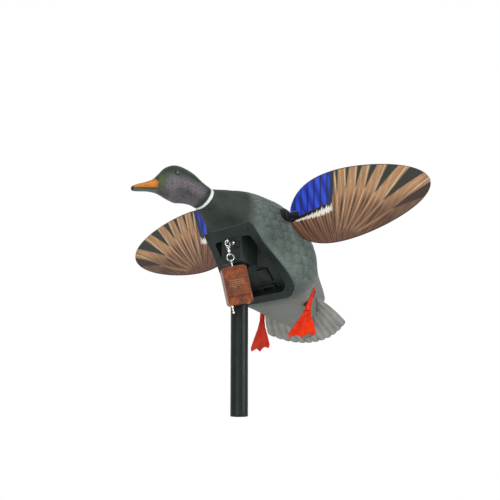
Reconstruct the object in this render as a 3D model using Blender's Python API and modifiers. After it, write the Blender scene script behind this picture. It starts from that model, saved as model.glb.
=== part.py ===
"""Motion wing decoy: a spinning-wing mallard drake on a steel stake, with its hanging remote.

The frame stands with +Z up and its origin at the centre of the pole's lower end. The bird heads
towards -Y, so its left side is +X. Most of the bird is laid out in a bird frame: x to the left
side, y towards the tail and z towards the back, with its origin on the wing axle, and the whole
frame is pitched nose up. Lengths are in metres.
"""

import math

import bmesh
import bpy
from mathutils import Matrix, Vector

MM = 0.001
GAP = 0.3 * MM  # clearance between pieces that touch
TINY = 0.0001

# Pole and the socket that turns on it
POLE_RADIUS = 12.7 * MM
POLE_WALL = 1.5 * MM
POLE_TOP = 281.0 * MM
SOCKET_WALL = 2.6 * MM
SOCKET_BOTTOM = 219.0 * MM
BLOCK_BOTTOM = 220.0 * MM
SOCKET_CAP = 3.0 * MM

# Bird frame
PITCH = math.radians(47.5)
AXLE_Y = 50.0 * MM
AXLE_Z = 295.0 * MM

# Body shell
SHELL_WALL = 2.6 * MM
SHELL_FLOOR = 5.4 * MM
CAVITY_FRONT = -70.0 * MM
CAVITY_REAR = 100.0 * MM
BODY_AROUND = 28
BODY_STEPS = 2

# Neck joint
NECK_PLUG_RADIUS = 12.5 * MM
NECK_PLUG_LENGTH = 12.0 * MM
HEAD_WALL = 2.6 * MM

# Wings
WING_LENGTH = 247.0 * MM
WING_CHORD = 99.8 * MM
WING_ROOT_X = 56.6 * MM
WING_THICKNESS = 1.6 * MM
WING_TAPER = -0.264
WING_FULLNESS = 0.09
WING_OFFSET = -2.6 * MM
WING_LEAN = math.radians(8.7)  # lean of the upper edge towards the head at rest

# Axle, hubs and bushes
AXLE_RADIUS = 2.0 * MM
HUB_RADIUS = 4.6 * MM
HUB_COLLAR_RADIUS = 7.0 * MM
HUB_INNER_X = 51.6 * MM
HUB_OUTER_X = 74.0 * MM
HUB_COLLAR_LENGTH = 4.0 * MM
MAGNET_RADIUS = 2.5 * MM
MAGNET_LENGTH = 1.4 * MM
BUSH_FLANGE_RADIUS = 11.5 * MM
BUSH_SLEEVE_RADIUS = 7.0 * MM
BUSH_FLANGE_X = 47.2 * MM
BUSH_FACE_X = 50.6 * MM
BUSH_INNER_X = 37.0 * MM

# Motor
MOTOR_RADIUS = 13.8 * MM
MOTOR_LENGTH = 32.0 * MM
STRAP_THICKNESS = 1.5 * MM

# Belly tray
TRAY_FACE_Z = -74.4 * MM
TRAY_THICKNESS = 2.2 * MM
TRAY_HALF = (
    (48.5, -35.0, 7.0),
    (51.5, 0.0, 60.0),
    (64.5, 52.0, 40.0),
    (63.5, 80.0, 16.0),
    (46.0, 95.5, 14.0),
)
TUB_HALF = (
    (36.5, -17.0, 6.0),
    (38.5, 0.0, 40.0),
    (50.5, 52.0, 40.0),
    (50.0, 74.0, 12.0),
    (40.0, 84.0, 10.0),
)
TUB_WALL = 2.2 * MM
TUB_FLOOR_Z = -55.0 * MM
TUB_FLOOR = 2.2 * MM
BLOCK_HALF = 20.0 * MM
BLOCK_FRONT_Y = -18.0 * MM
BLOCK_REAR_Y = 18.0 * MM
BLOCK_TOP_Z = 279.0 * MM
SCREW_SPOTS = ((40.5 * MM, -26.0 * MM), (52.0 * MM, 26.0 * MM), (51.5 * MM, 82.0 * MM))
SCREW_HEAD = 0.9 * MM
BOSS_RADIUS = 3.6 * MM
BOSS_TOP_Z = -64.0 * MM
SCREW_HEAD_RADIUS = 2.6 * MM
SCREW_SHANK_RADIUS = 1.3 * MM
SCREW_LENGTH = 9.0 * MM

# Battery bay
CELL_RADIUS = 7.1 * MM
CELL_LENGTH = 50.0 * MM
CELL_PITCH = 14.8 * MM
CELL_COUNT = 4
CELL_Z = -43.2 * MM
BOX_WALL = 1.6 * MM
BOX_TOP_Z = -34.2 * MM
BOX_FRONT_Y = 25.6 * MM
DOOR_HALF = 31.0 * MM
DOOR_FRONT_Y = 32.5 * MM
DOOR_THICKNESS = 2.0 * MM
DOOR_HINGE_Y = 79.6 * MM
DOOR_HINGE_Z = -56.6 * MM
KNUCKLE_RADIUS = 2.4 * MM
KNUCKLE_HALF = 9.0 * MM
PIN_RADIUS = 0.8 * MM
LATCH_X = 4.0 * MM
LATCH_SIZE = 21.0 * MM
LATCH_LENGTH = 23.0 * MM
LATCH_FRONT_Y = 49.5 * MM
LATCH_HEIGHT = 2.5 * MM
LATCH_TRAVEL = 3.5 * MM

# Power switch
SWITCH_X = 13.0 * MM
SWITCH_Z = 246.0 * MM
SWITCH_RADIUS = 5.2 * MM
SWITCH_TRAVEL = 1.5 * MM

# Tail fan
FAN_Z = -30.0 * MM
FAN_THICKNESS = 2.6 * MM
FAN_ROOT_Y = 121.0 * MM
FAN_FEATHERS = 12

# Legs
LEG_ROOT = (50.0 * MM, 105.0 * MM, 190.7 * MM)
LEG_THICKNESS = 2.4 * MM
LEG_TURN = math.radians(10.0)
LEG_LEANS = (math.radians(24.0), math.radians(5.5))  # the left leg swings further forward

# Lanyard and remote, hung from an eye on the socket block. Heights run down the chain from the eye.
CHAIN_X = 7.6 * MM
CHAIN_Y = -33.0 * MM
CHAIN_Z = 247.0 * MM
CHAIN_TURN = math.radians(58.0)
CHAIN_TILT = math.radians(12.5)
EYE_RADIUS = 2.7 * MM
WIRE_RADIUS = 0.7 * MM
HOOK_RADIUS = 3.2 * MM
HOOK_WIRE = 0.8 * MM
CLASP_BOTTOM = -8.0 * MM
BARREL_RADIUS = 2.3 * MM
BARREL_BOTTOM = -14.6 * MM
SWIVEL_EYE_Z = -16.9 * MM
SWIVEL_EYE_RADIUS = 2.0 * MM
SWIVEL_EYE_WIRE = 0.75 * MM
RING_RADIUS = 5.2 * MM
RING_WIRE = 0.75 * MM
LUG_Z = SWIVEL_EYE_Z - 2 * RING_RADIUS
REMOTE_TOP = -36.4 * MM
REMOTE_LENGTH = 56.0 * MM
REMOTE_WIDTH = 37.0 * MM
REMOTE_HALF_DEPTH = 6.8 * MM
REMOTE_CORNER = 5.0 * MM
REMOTE_WALL = 1.8 * MM
COVER_DROP = 4.4 * MM
COVER_LENGTH = 39.0 * MM
COVER_THICKNESS = 1.8 * MM
COVER_HALF = 15.7 * MM
BUTTON_RADIUS = 3.2 * MM
BUTTON_X = 7.0 * MM
BUTTON_DROP = 12.6 * MM
ANTENNA_X = -12.6 * MM
ANTENNA_TUBE_RADIUS = 1.6 * MM
ANTENNA_ROD_RADIUS = 0.8 * MM
ANTENNA_TIP_RADIUS = 1.7 * MM
ANTENNA_REACH = 11.5 * MM
REMOTE_CELL_RADIUS = 3.8 * MM


# ---------------------------------------------------------------- scene, materials, helpers

for old in list(bpy.data.objects):
    bpy.data.objects.remove(old)

parts = bpy.data.collections.new("motion_wing_decoy")
cutters = bpy.data.collections.new("cutters")
cutters.hide_render = True
bpy.context.scene.collection.children.link(parts)
bpy.context.scene.collection.children.link(cutters)


def material(name, colour, roughness, metallic=0.0):
    """A plain Principled material."""
    made = bpy.data.materials.new(name)
    made.use_nodes = True
    shader = made.node_tree.nodes["Principled BSDF"]
    shader.inputs["Base Color"].default_value = (*colour, 1.0)
    shader.inputs["Roughness"].default_value = roughness
    shader.inputs["Metallic"].default_value = metallic
    return made


BODY = material("body_grey_green", (0.16, 0.19, 0.17), 0.6)
HEAD = material("head_dark_green", (0.03, 0.06, 0.05), 0.5)
TAIL = material("tail_grey", (0.3, 0.32, 0.3), 0.6)
TRAY = material("tray_dark_green", (0.02, 0.04, 0.035), 0.45)
POLE = material("pole_dark_green", (0.02, 0.035, 0.032), 0.4, 0.3)
BLACK = material("black_plastic", (0.015, 0.015, 0.017), 0.45)
WING = material("wing_print", (0.35, 0.22, 0.12), 0.4)
ORANGE = material("leg_orange", (0.8, 0.08, 0.01), 0.5)
EYE = material("eye_black", (0.01, 0.008, 0.005), 0.1)
CHROME = material("chrome", (0.8, 0.8, 0.8), 0.15, 1.0)
STEEL = material("steel", (0.5, 0.5, 0.52), 0.3, 1.0)
WOOD = material("remote_brown", (0.25, 0.07, 0.025), 0.3)
BOARD = material("board_green", (0.02, 0.15, 0.05), 0.5)
CELL = material("cell_grey", (0.3, 0.3, 0.32), 0.35)


def empty(name, location, rotation=(0.0, 0.0, 0.0), parent=None):
    """An axis or frame that pieces are parented to."""
    made = bpy.data.objects.new(name, None)
    parts.objects.link(made)
    made.parent = parent
    made.location = location
    made.rotation_euler = rotation
    return made


def place(obj, look, parent=None, location=(0.0, 0.0, 0.0), rotation=(0.0, 0.0, 0.0)):
    """Puts a piece in the parts collection, or a cutter in the other one when look is None."""
    obj.parent = parent
    obj.location = location
    obj.rotation_euler = rotation
    if look is None:
        cutters.objects.link(obj)
        obj.hide_render = True
        obj.display_type = "WIRE"
        return obj
    parts.objects.link(obj)
    obj.data.materials.clear()
    obj.data.materials.append(look)
    return obj


def mesh_object(name, shape, smooth=False):
    """An object from a bmesh, which is freed."""
    bmesh.ops.recalc_face_normals(shape, faces=shape.faces)
    mesh = bpy.data.meshes.new(name)
    shape.to_mesh(mesh)
    shape.free()
    if smooth:
        mesh.shade_smooth()
        mesh.set_sharp_from_angle(angle=math.radians(35.0))
    return bpy.data.objects.new(name, mesh)


def box(name, low, high, look, parent=None, rounding=0.0, **where):
    """A box between two corners, with its edges rounded if asked."""
    shape = bmesh.new()
    bmesh.ops.create_cube(shape, size=1.0)
    size = [b - a for a, b in zip(low, high)]
    centre = [(a + b) / 2 for a, b in zip(low, high)]
    bmesh.ops.scale(shape, vec=size, verts=shape.verts)
    bmesh.ops.translate(shape, vec=centre, verts=shape.verts)
    obj = place(mesh_object(name, shape), look, parent, **where)
    if rounding:
        bevel(obj, rounding)
    return obj


def bevel(obj, width, segments=2, angle=30.0):
    made = obj.modifiers.new("Bevel", "BEVEL")
    made.width = width
    made.segments = segments
    made.limit_method = "ANGLE"
    made.angle_limit = math.radians(angle)
    made.use_clamp_overlap = True
    return made


AXES = {
    "X": Matrix.Rotation(math.radians(90.0), 4, "Y"),
    "Y": Matrix.Rotation(math.radians(-90.0), 4, "X"),
    "Z": Matrix.Identity(4),
}


def rod(name, radius, start, length, axis, look, parent=None, sides=24, far_radius=None, **where):
    """A cylinder or cone from a point along one axis."""
    shape = bmesh.new()
    bmesh.ops.create_cone(
        shape,
        cap_ends=True,
        segments=sides,
        radius1=radius,
        radius2=radius if far_radius is None else far_radius,
        depth=length,
    )
    bmesh.ops.translate(shape, vec=(0.0, 0.0, length / 2), verts=shape.verts)
    bmesh.ops.transform(shape, matrix=AXES[axis], verts=shape.verts)
    bmesh.ops.translate(shape, vec=start, verts=shape.verts)
    return place(mesh_object(name, shape, smooth=True), look, parent, **where)


def turned(name, profile, look, parent=None, steps=32, axis="Z", **where):
    """A solid of revolution about an axis from (radius, height) points."""
    shape = bmesh.new()
    line = [shape.verts.new((radius, 0.0, height)) for radius, height in profile]
    edges = [shape.edges.new(pair) for pair in zip(line, line[1:])]
    if profile[0][0] > 0 and profile[-1][0] > 0:
        edges.append(shape.edges.new((line[-1], line[0])))
    bmesh.ops.spin(
        shape,
        geom=line + edges,
        cent=(0.0, 0.0, 0.0),
        axis=(0.0, 0.0, 1.0),
        angle=2 * math.pi,
        steps=steps,
        use_merge=True,
    )
    bmesh.ops.remove_doubles(shape, verts=shape.verts, dist=0.000001)
    bmesh.ops.transform(shape, matrix=AXES[axis], verts=shape.verts)
    return place(mesh_object(name, shape, smooth=True), look, parent, **where)


def ball(name, radius, centre, look, parent=None, scale=(1.0, 1.0, 1.0), **where):
    shape = bmesh.new()
    bmesh.ops.create_uvsphere(shape, u_segments=12, v_segments=8, radius=radius)
    bmesh.ops.scale(shape, vec=scale, verts=shape.verts)
    bmesh.ops.translate(shape, vec=centre, verts=shape.verts)
    return place(mesh_object(name, shape, smooth=True), look, parent, **where)


def ring(name, radius, wire, centre, normal, look, parent=None, around=28, across=10, **where):
    """A torus about the named axis."""
    shape = bmesh.new()
    loops = []
    for i in range(around):
        angle = 2 * math.pi * i / around
        out = Vector((math.cos(angle), math.sin(angle), 0.0))
        loop = []
        for j in range(across):
            turn = 2 * math.pi * j / across
            reach = out * (radius + wire * math.cos(turn))
            loop.append(shape.verts.new(reach + Vector((0.0, 0.0, wire * math.sin(turn)))))
        loops.append(loop)
    for i in range(around):
        here = loops[i]
        there = loops[(i + 1) % around]
        for j in range(across):
            k = (j + 1) % across
            shape.faces.new((here[j], here[k], there[k], there[j]))
    bmesh.ops.transform(shape, matrix=AXES[normal], verts=shape.verts)
    bmesh.ops.translate(shape, vec=centre, verts=shape.verts)
    return place(mesh_object(name, shape, smooth=True), look, parent, **where)


def prism(name, outline, low, high, look, parent=None, axis="Z", **where):
    """A flat outline of (x, y) points, extruded from low to high along z, then turned to an axis."""
    curve = bpy.data.curves.new(name, "CURVE")
    curve.dimensions = "2D"
    curve.fill_mode = "BOTH"
    curve.extrude = (high - low) / 2
    spline = curve.splines.new("POLY")
    spline.points.add(len(outline) - 1)
    for point, (x, y) in zip(spline.points, outline):
        point.co = (x, y, 0.0, 1.0)
    spline.use_cyclic_u = True
    shape = curve_shape(curve)
    bmesh.ops.translate(shape, vec=(0.0, 0.0, (low + high) / 2), verts=shape.verts)
    turn = Matrix.Rotation(math.radians(90.0), 4, "X") if axis == "-Y" else AXES[axis]
    bmesh.ops.transform(shape, matrix=turn, verts=shape.verts)
    return place(mesh_object(name, shape), look, parent, **where)


def wire_path(name, points, radius, look, parent=None, closed=False, sides=1, **where):
    """A round wire along a list of points."""
    curve = bpy.data.curves.new(name, "CURVE")
    curve.dimensions = "3D"
    curve.bevel_depth = radius
    curve.bevel_resolution = sides
    curve.use_fill_caps = True
    spline = curve.splines.new("POLY")
    spline.points.add(len(points) - 1)
    for point, place_at in zip(spline.points, points):
        point.co = (*place_at, 1.0)
    spline.use_cyclic_u = closed
    return place(mesh_object(name, curve_shape(curve), smooth=True), look, parent, **where)


def curve_shape(curve):
    """A welded bmesh of a curve, which is then removed."""
    holder = bpy.data.objects.new("holder", curve)
    bpy.context.scene.collection.objects.link(holder)
    graph = bpy.context.evaluated_depsgraph_get()
    mesh = bpy.data.meshes.new_from_object(holder.evaluated_get(graph))
    bpy.data.objects.remove(holder)
    bpy.data.curves.remove(curve)
    shape = bmesh.new()
    shape.from_mesh(mesh)
    bpy.data.meshes.remove(mesh)
    bmesh.ops.remove_doubles(shape, verts=shape.verts, dist=0.000001)
    return shape


def boolean(obj, tool, operation):
    made = obj.modifiers.new(operation.title(), "BOOLEAN")
    made.operation = operation
    made.solver = "EXACT"
    made.object = tool
    return made


def cut(obj, *tools):
    for tool in tools:
        boolean(obj, tool, "DIFFERENCE")


def join(obj, *tools):
    for tool in tools:
        boolean(obj, tool, "UNION")


def arc(cx, cy, radius, start, end, count):
    """Points on an arc, angles in degrees."""
    found = []
    for i in range(count + 1):
        angle = math.radians(start + (end - start) * i / count)
        found.append((cx + radius * math.cos(angle), cy + radius * math.sin(angle)))
    return found


def rounded(corners, step=22.0):
    """A closed outline from (x, y, radius) corners, with an arc point each step degrees."""
    outline = []
    for i, (x, y, radius) in enumerate(corners):
        here = Vector((x, y))
        back = (Vector(corners[i - 1][:2]) - here).normalized()
        ahead = (Vector(corners[(i + 1) % len(corners)][:2]) - here).normalized()
        half = back.angle(ahead) / 2
        segments = max(1, round((180.0 - math.degrees(2 * half)) / step))
        reach = radius / math.tan(half)
        start = here + back * reach
        end = here + ahead * reach
        centre = here + (back + ahead).normalized() * (radius / math.sin(half))
        for k in range(segments + 1):
            chord = start.lerp(end, k / segments) - centre
            outline.append(tuple(centre + chord.normalized() * radius))
    return outline


def mirrored(half):
    """Both sides of an outline given from the front centre to the rear centre on the +x side."""
    return half + [(-x, y, r) for x, y, r in reversed(half)]


# ---------------------------------------------------------------- lofts

def between(rows, steps):
    """Rows of numbers with smooth rows added between them (Catmull-Rom)."""
    smooth = []
    for i in range(len(rows) - 1):
        p1 = rows[i]
        p2 = rows[i + 1]
        p0 = rows[i - 1] if i else [2 * a - b for a, b in zip(p1, p2)]
        p3 = rows[i + 2] if i + 2 < len(rows) else [2 * b - a for a, b in zip(p1, p2)]
        for k in range(steps):
            t = k / steps
            smooth.append(
                [
                    b + 0.5 * t * (c - a + t * (2 * a - 5 * b + 4 * c - d + t * (3 * (b - c) + d - a)))
                    for a, b, c, d in zip(p0, p1, p2, p3)
                ]
            )
    smooth.append(list(rows[-1]))
    return smooth


def section(row, around, inset, inset_down):
    """Points of one cross-section: (x, y, z, tilt, turn, half width, up, down, n up, n down)."""
    x, y, z, tilt, turn, half, up, down, n_up, n_down = row
    frame = Matrix.Rotation(math.radians(turn), 3, "Z") @ Matrix.Rotation(math.radians(tilt), 3, "X")
    points = []
    for i in range(around):
        angle = 2 * math.pi * i / around
        c = math.cos(angle)
        s = math.sin(angle)
        power = 2.0 / (n_up if s >= 0 else n_down)
        height = up - inset if s >= 0 else down - inset_down
        across = math.copysign(abs(c) ** power, c) * (half - inset)
        along = math.copysign(abs(s) ** power, s) * height
        points.append(Vector((x, y, z)) * MM + frame @ Vector((across, 0.0, along)) * MM)
    return points


def loft(name, rows, look, parent=None, around=24, steps=2, inset=0.0, inset_down=0.0, **where):
    """A closed body through cross-sections, with flat ends."""
    shape = bmesh.new()
    loops = []
    for row in between(rows, steps):
        loops.append([shape.verts.new(p) for p in section(row, around, inset, inset_down)])
    for here, there in zip(loops, loops[1:]):
        for j in range(around):
            k = (j + 1) % around
            shape.faces.new((here[j], here[k], there[k], there[j]))
    shape.faces.new(loops[0])
    shape.faces.new(reversed(loops[-1]))
    return place(mesh_object(name, shape, smooth=True), look, parent, **where)


# Cross-sections in millimetres, neck to tail, in the bird frame:
# x, y, height of the widest line, tilt, turn, half width, up, down, roundness above and below
NECK_ROW = (0.0, -91.0, -83.5, 22.0, 0.0, 18.5, 18.5, 18.5, 2.0, 2.0)
BODY_ROWS = (
    NECK_ROW,
    (0.0, -79.0, -74.0, 20.0, 0.0, 24.0, 25.5, 23.0, 2.0, 2.0),
    (0.0, -64.0, -64.0, 14.0, 0.0, 33.0, 38.0, 27.0, 2.0, 2.1),
    (0.0, -49.0, -58.0, 7.0, 0.0, 42.0, 55.0, 22.0, 2.0, 2.6),
    (0.0, -34.0, -54.0, 0.0, 0.0, 50.0, 71.0, 20.6, 2.0, 4.0),
    (0.0, -15.0, -52.0, 0.0, 0.0, 54.5, 86.0, 22.6, 2.0, 7.0),
    (0.0, 8.0, -52.0, 0.0, 0.0, 58.5, 99.0, 22.6, 2.0, 8.0),
    (0.0, 35.0, -52.0, 0.0, 0.0, 64.0, 106.0, 22.6, 2.0, 8.0),
    (0.0, 62.0, -52.0, 0.0, 0.0, 69.0, 105.0, 22.6, 2.0, 8.0),
    (0.0, 82.0, -51.0, 0.0, 0.0, 68.0, 98.0, 23.6, 2.0, 6.0),
    (0.0, 97.0, -49.0, 0.0, 0.0, 62.0, 89.0, 25.0, 2.0, 4.0),
    (0.0, 112.0, -45.0, 0.0, 0.0, 56.0, 79.0, 23.0, 2.0, 3.0),
    (0.0, 128.0, -40.0, 0.0, 0.0, 50.5, 68.0, 21.0, 2.2, 2.4),
    (0.0, 142.0, -37.0, 0.0, 0.0, 45.0, 58.0, 17.0, 2.7, 2.2),
    (0.0, 151.0, -35.0, 0.0, 0.0, 40.0, 51.0, 14.5, 3.0, 2.0),
    (0.0, 155.0, -34.0, 0.0, 0.0, 33.0, 34.0, 13.5, 2.4, 2.0),
    (0.0, 163.0, -33.0, 0.0, 0.0, 26.0, 17.0, 11.5, 2.0, 2.0),
    (0.0, 178.0, -32.0, 0.0, 0.0, 17.0, 10.0, 8.5, 2.0, 2.0),
    (0.0, 190.0, -31.0, 0.0, 0.0, 9.0, 6.0, 6.0, 2.0, 2.0),
)
CAVITY_ROWS = [row for row in BODY_ROWS if CAVITY_FRONT < row[1] * MM < CAVITY_REAR]

# Head sections in millimetres in the standing frame, from the neck joint to the bill's tip
HEAD_ROWS = (
    (0.0, -73.35, 305.85, -25.5, 0.0, 18.5, 18.5, 18.5, 2.0, 2.0),
    (-3.5, -86.0, 311.5, -22.0, -16.0, 18.4, 20.0, 19.0, 2.0, 2.0),
    (-9.5, -99.0, 317.5, -12.0, -27.0, 20.0, 26.0, 22.5, 2.0, 2.0),
    (-18.0, -113.5, 322.0, -2.0, -32.0, 21.5, 29.0, 26.5, 2.0, 2.0),
    (-25.5, -125.0, 322.5, 4.0, -33.0, 19.5, 24.0, 22.5, 2.0, 2.0),
    (-31.0, -133.5, 320.5, 8.0, -33.0, 15.0, 15.0, 15.5, 2.0, 2.0),
    (-35.0, -139.5, 318.5, 10.0, -33.0, 12.0, 10.0, 10.5, 2.0, 2.0),
    (-40.5, -148.0, 316.5, 12.0, -33.0, 11.0, 6.8, 6.8, 2.2, 2.2),
    (-46.0, -156.5, 314.6, 12.0, -33.0, 11.6, 5.2, 5.0, 2.2, 2.2),
    (-50.4, -163.3, 313.0, 12.0, -33.0, 9.0, 3.6, 3.6, 2.2, 2.2),
    (-52.0, -165.8, 312.4, 12.0, -33.0, 4.5, 2.0, 2.0, 2.2, 2.2),
)
EYE_ANGLE = math.radians(25.0)
EYEBALL_RADIUS = 3.6 * MM
EYE_DEPTH = 1.3 * MM


# ---------------------------------------------------------------- frames

bird = empty("bird_swivel", (0.0, 0.0, 0.0))
frame = empty("bird_frame", (0.0, AXLE_Y, AXLE_Z), (-PITCH, 0.0, 0.0), bird)
axle = empty("wing_axle", (0.0, 0.0, 0.0), (PITCH + WING_LEAN, 0.0, 0.0), frame)
neck = empty(
    "neck_joint",
    (0.0, NECK_ROW[1] * MM, NECK_ROW[2] * MM),
    (math.radians(90.0 + NECK_ROW[3]), 0.0, 0.0),
    frame,
)
SIDES = (("left", 1), ("right", -1))


# ---------------------------------------------------------------- pole and socket

turned(
    "pole",
    (
        (POLE_RADIUS - POLE_WALL, 0.0),
        (POLE_RADIUS - 0.4 * MM, 0.0),
        (POLE_RADIUS, 0.4 * MM),
        (POLE_RADIUS, POLE_TOP - 0.4 * MM),
        (POLE_RADIUS - 0.4 * MM, POLE_TOP),
        (POLE_RADIUS - POLE_WALL, POLE_TOP),
    ),
    POLE,
    steps=32,
)
sleeve_inner = POLE_RADIUS + GAP
sleeve_outer = sleeve_inner + SOCKET_WALL
cap_z = POLE_TOP + GAP
turned(
    "pole_socket",
    (
        (0.0, cap_z),
        (sleeve_inner, cap_z),
        (sleeve_inner, SOCKET_BOTTOM),
        (sleeve_outer, SOCKET_BOTTOM),
        (sleeve_outer, cap_z + SOCKET_CAP),
        (0.0, cap_z + SOCKET_CAP),
    ),
    BLACK,
    bird,
    steps=32,
)


# ---------------------------------------------------------------- body shell

def outline_of(half, grow=0.0):
    """A rounded outline from half of its corners in millimetres, grown outwards."""
    middle = half[2][1]
    corners = []
    for x, y, r in half:
        dy = grow if y > middle else -grow if y < 0 else 0.0
        corners.append((x * MM + grow, y * MM + dy, r * MM + grow))
    return rounded(mirrored(corners))


shell = loft("body_shell", BODY_ROWS, BODY, frame, BODY_AROUND, BODY_STEPS)
cavity = loft(
    "cut_body_cavity",
    CAVITY_ROWS,
    None,
    frame,
    BODY_AROUND,
    BODY_STEPS,
    SHELL_WALL / MM,
    SHELL_FLOOR / MM,
)
cut(shell, cavity)
tray_top = TRAY_FACE_Z + TRAY_THICKNESS
tub_outer = outline_of(TUB_HALF, TUB_WALL)
rebate = prism("cut_tray_rebate", outline_of(TRAY_HALF, GAP), -100.0 * MM, tray_top + GAP, None, frame)
opening = prism(
    "cut_tray_opening", outline_of(TUB_HALF, TUB_WALL + GAP), -100.0 * MM, -60.0 * MM, None, frame
)
block_room = box(
    "cut_block_room",
    (-BLOCK_HALF - GAP, BLOCK_FRONT_Y - GAP, 180.0 * MM),
    (BLOCK_HALF + GAP, BLOCK_REAR_Y + GAP, BLOCK_TOP_Z + GAP),
    None,
    bird,
)
cut(shell, rebate, opening, block_room)

for name, side in SIDES:
    boss = rod(
        f"add_boss_{name}",
        14.2 * MM,
        (side * BUSH_INNER_X, 0.0, 0.0),
        side * (BUSH_FLANGE_X - GAP - BUSH_INNER_X),
        "X",
        None,
        frame,
        24,
    )
    face = rod(
        f"cut_bush_face_{name}",
        BUSH_FLANGE_RADIUS + GAP,
        (side * (BUSH_FLANGE_X - GAP), 0.0, 0.0),
        side * 20.0 * MM,
        "X",
        None,
        frame,
        24,
    )
    bore = rod(
        f"cut_bush_bore_{name}",
        BUSH_SLEEVE_RADIUS + GAP,
        (side * 30.0 * MM, 0.0, 0.0),
        side * 30.0 * MM,
        "X",
        None,
        frame,
        20,
    )
    join(shell, boss)
    cut(shell, face, bore)

spots = [(side * x, y) for x, y in SCREW_SPOTS for side in (1, -1)]
for i, (x, y) in enumerate(spots):
    boss = rod(
        f"add_screw_boss_{i}",
        BOSS_RADIUS,
        (x, y, tray_top + 1.2 * MM),
        BOSS_TOP_Z - tray_top - 1.2 * MM,
        "Z",
        None,
        frame,
        12,
    )
    hole = rod(
        f"cut_screw_hole_{i}",
        SCREW_SHANK_RADIUS + GAP,
        (x, y, -80.0 * MM),
        14.7 * MM,
        "Z",
        None,
        frame,
        10,
    )
    join(shell, boss)
    cut(shell, hole)

plug = rod(
    "add_neck_plug",
    NECK_PLUG_RADIUS,
    (0.0, 0.0, -6.0 * MM),
    NECK_PLUG_LENGTH + 6.0 * MM,
    "Z",
    None,
    neck,
    32,
)
join(shell, plug)


# ---------------------------------------------------------------- head and eyes

head = loft("head", HEAD_ROWS, HEAD, bird, 20, 2)
head_cavity = loft("cut_head_cavity", HEAD_ROWS[1:6], None, bird, 20, 2, HEAD_WALL / MM, HEAD_WALL / MM)
neck_bore = rod(
    "cut_neck_bore",
    NECK_PLUG_RADIUS + GAP,
    (0.0, 0.0, -5.0 * MM),
    23.0 * MM,
    "Z",
    None,
    neck,
    32,
)
cut(head, head_cavity, neck_bore)

eye_row = HEAD_ROWS[3]
eye_turn = Matrix.Rotation(math.radians(eye_row[4]), 3, "Z")
for name, side in SIDES:
    across = side * eye_row[5] * math.cos(EYE_ANGLE)
    up = eye_row[6] * math.sin(EYE_ANGLE)
    out = eye_turn @ Vector((side * 0.94, -0.1, 0.33)).normalized()
    spot = Vector(eye_row[:3]) * MM + eye_turn @ Vector((across, 0.0, up)) * MM - out * EYE_DEPTH
    ball(f"eye_{name}", EYEBALL_RADIUS, spot, EYE, bird)
    cut(head, ball(f"cut_eye_{name}", EYEBALL_RADIUS + GAP, spot, None, bird))


# ---------------------------------------------------------------- tail fan

fan_centre_y = 71.0
fan_reach = 132.0
half_angle = 37.3
fan = [(-56.0, 126.0), (-48.0, 121.0), (48.0, 121.0), (56.0, 126.0), (70.0, 151.0)]
for i in range(FAN_FEATHERS):
    start = 90.0 - half_angle + 2 * half_angle * i / FAN_FEATHERS
    step = 2 * half_angle / FAN_FEATHERS
    for share, reach in ((0.0, -2.2), (0.22, -0.3), (0.5, 0.6), (0.78, -0.3)):
        angle = math.radians(start + step * share)
        radius = fan_reach + reach
        fan.append((radius * math.cos(angle), fan_centre_y + radius * math.sin(angle)))
fan.append((-80.0, 176.0))
fan.append((-70.0, 151.0))
fan = [(x * MM, y * MM) for x, y in fan]
half_fan = FAN_THICKNESS / 2
prism("tail_fan", fan, FAN_Z - half_fan, FAN_Z + half_fan, TAIL, frame)
wide = []
for x, y in fan:
    grow = 5.0 * MM if y > 150.0 * MM else 0.0
    wide.append((x * 1.02, y - GAP if y < FAN_ROOT_Y + MM else y + grow))
cut(shell, prism("cut_fan_slot", wide, FAN_Z - half_fan - GAP, FAN_Z + half_fan + GAP, None, frame))


# ---------------------------------------------------------------- legs

LEG = (
    (4.5, 8.0),
    (4.5, -10.0),
    (3.8, -32.0),
    (8.5, -46.0),
    (17.0, -62.0),
    (23.5, -75.0),
    (21.5, -80.5),
    (16.0, -78.0),
    (9.0, -76.6),
    (3.5, -80.0),
    (0.0, -83.0),
)
leg_outline = [(x * MM, z * MM) for x, z in LEG] + [(-x * MM, z * MM) for x, z in reversed(LEG[:-1])]
for (name, side), lean in zip(SIDES, LEG_LEANS):
    root = empty(
        f"leg_root_{name}",
        (side * LEG_ROOT[0], LEG_ROOT[1], LEG_ROOT[2]),
        (-lean, 0.0, side * LEG_TURN),
        bird,
    )
    half = LEG_THICKNESS / 2
    leg = prism(f"leg_{name}", leg_outline, -half, half, ORANGE, root, "-Y")
    rib = box(
        f"add_leg_rib_{name}",
        (-1.7 * MM, -2.0 * MM, -73.0 * MM),
        (1.7 * MM, 2.0 * MM, 1.0 * MM),
        None,
        root,
    )
    join(leg, rib)
    room = box(
        f"cut_leg_room_{name}",
        (-7.5 * MM, -5.0 * MM, -34.0 * MM),
        (7.5 * MM, 5.0 * MM, 2.3 * MM),
        None,
        root,
    )
    slot = box(
        f"cut_leg_slot_{name}",
        (-4.8 * MM, -half - GAP, 0.0),
        (4.8 * MM, half + GAP, 8.3 * MM),
        None,
        root,
    )
    cut(shell, room, slot)


# ---------------------------------------------------------------- belly tray

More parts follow.
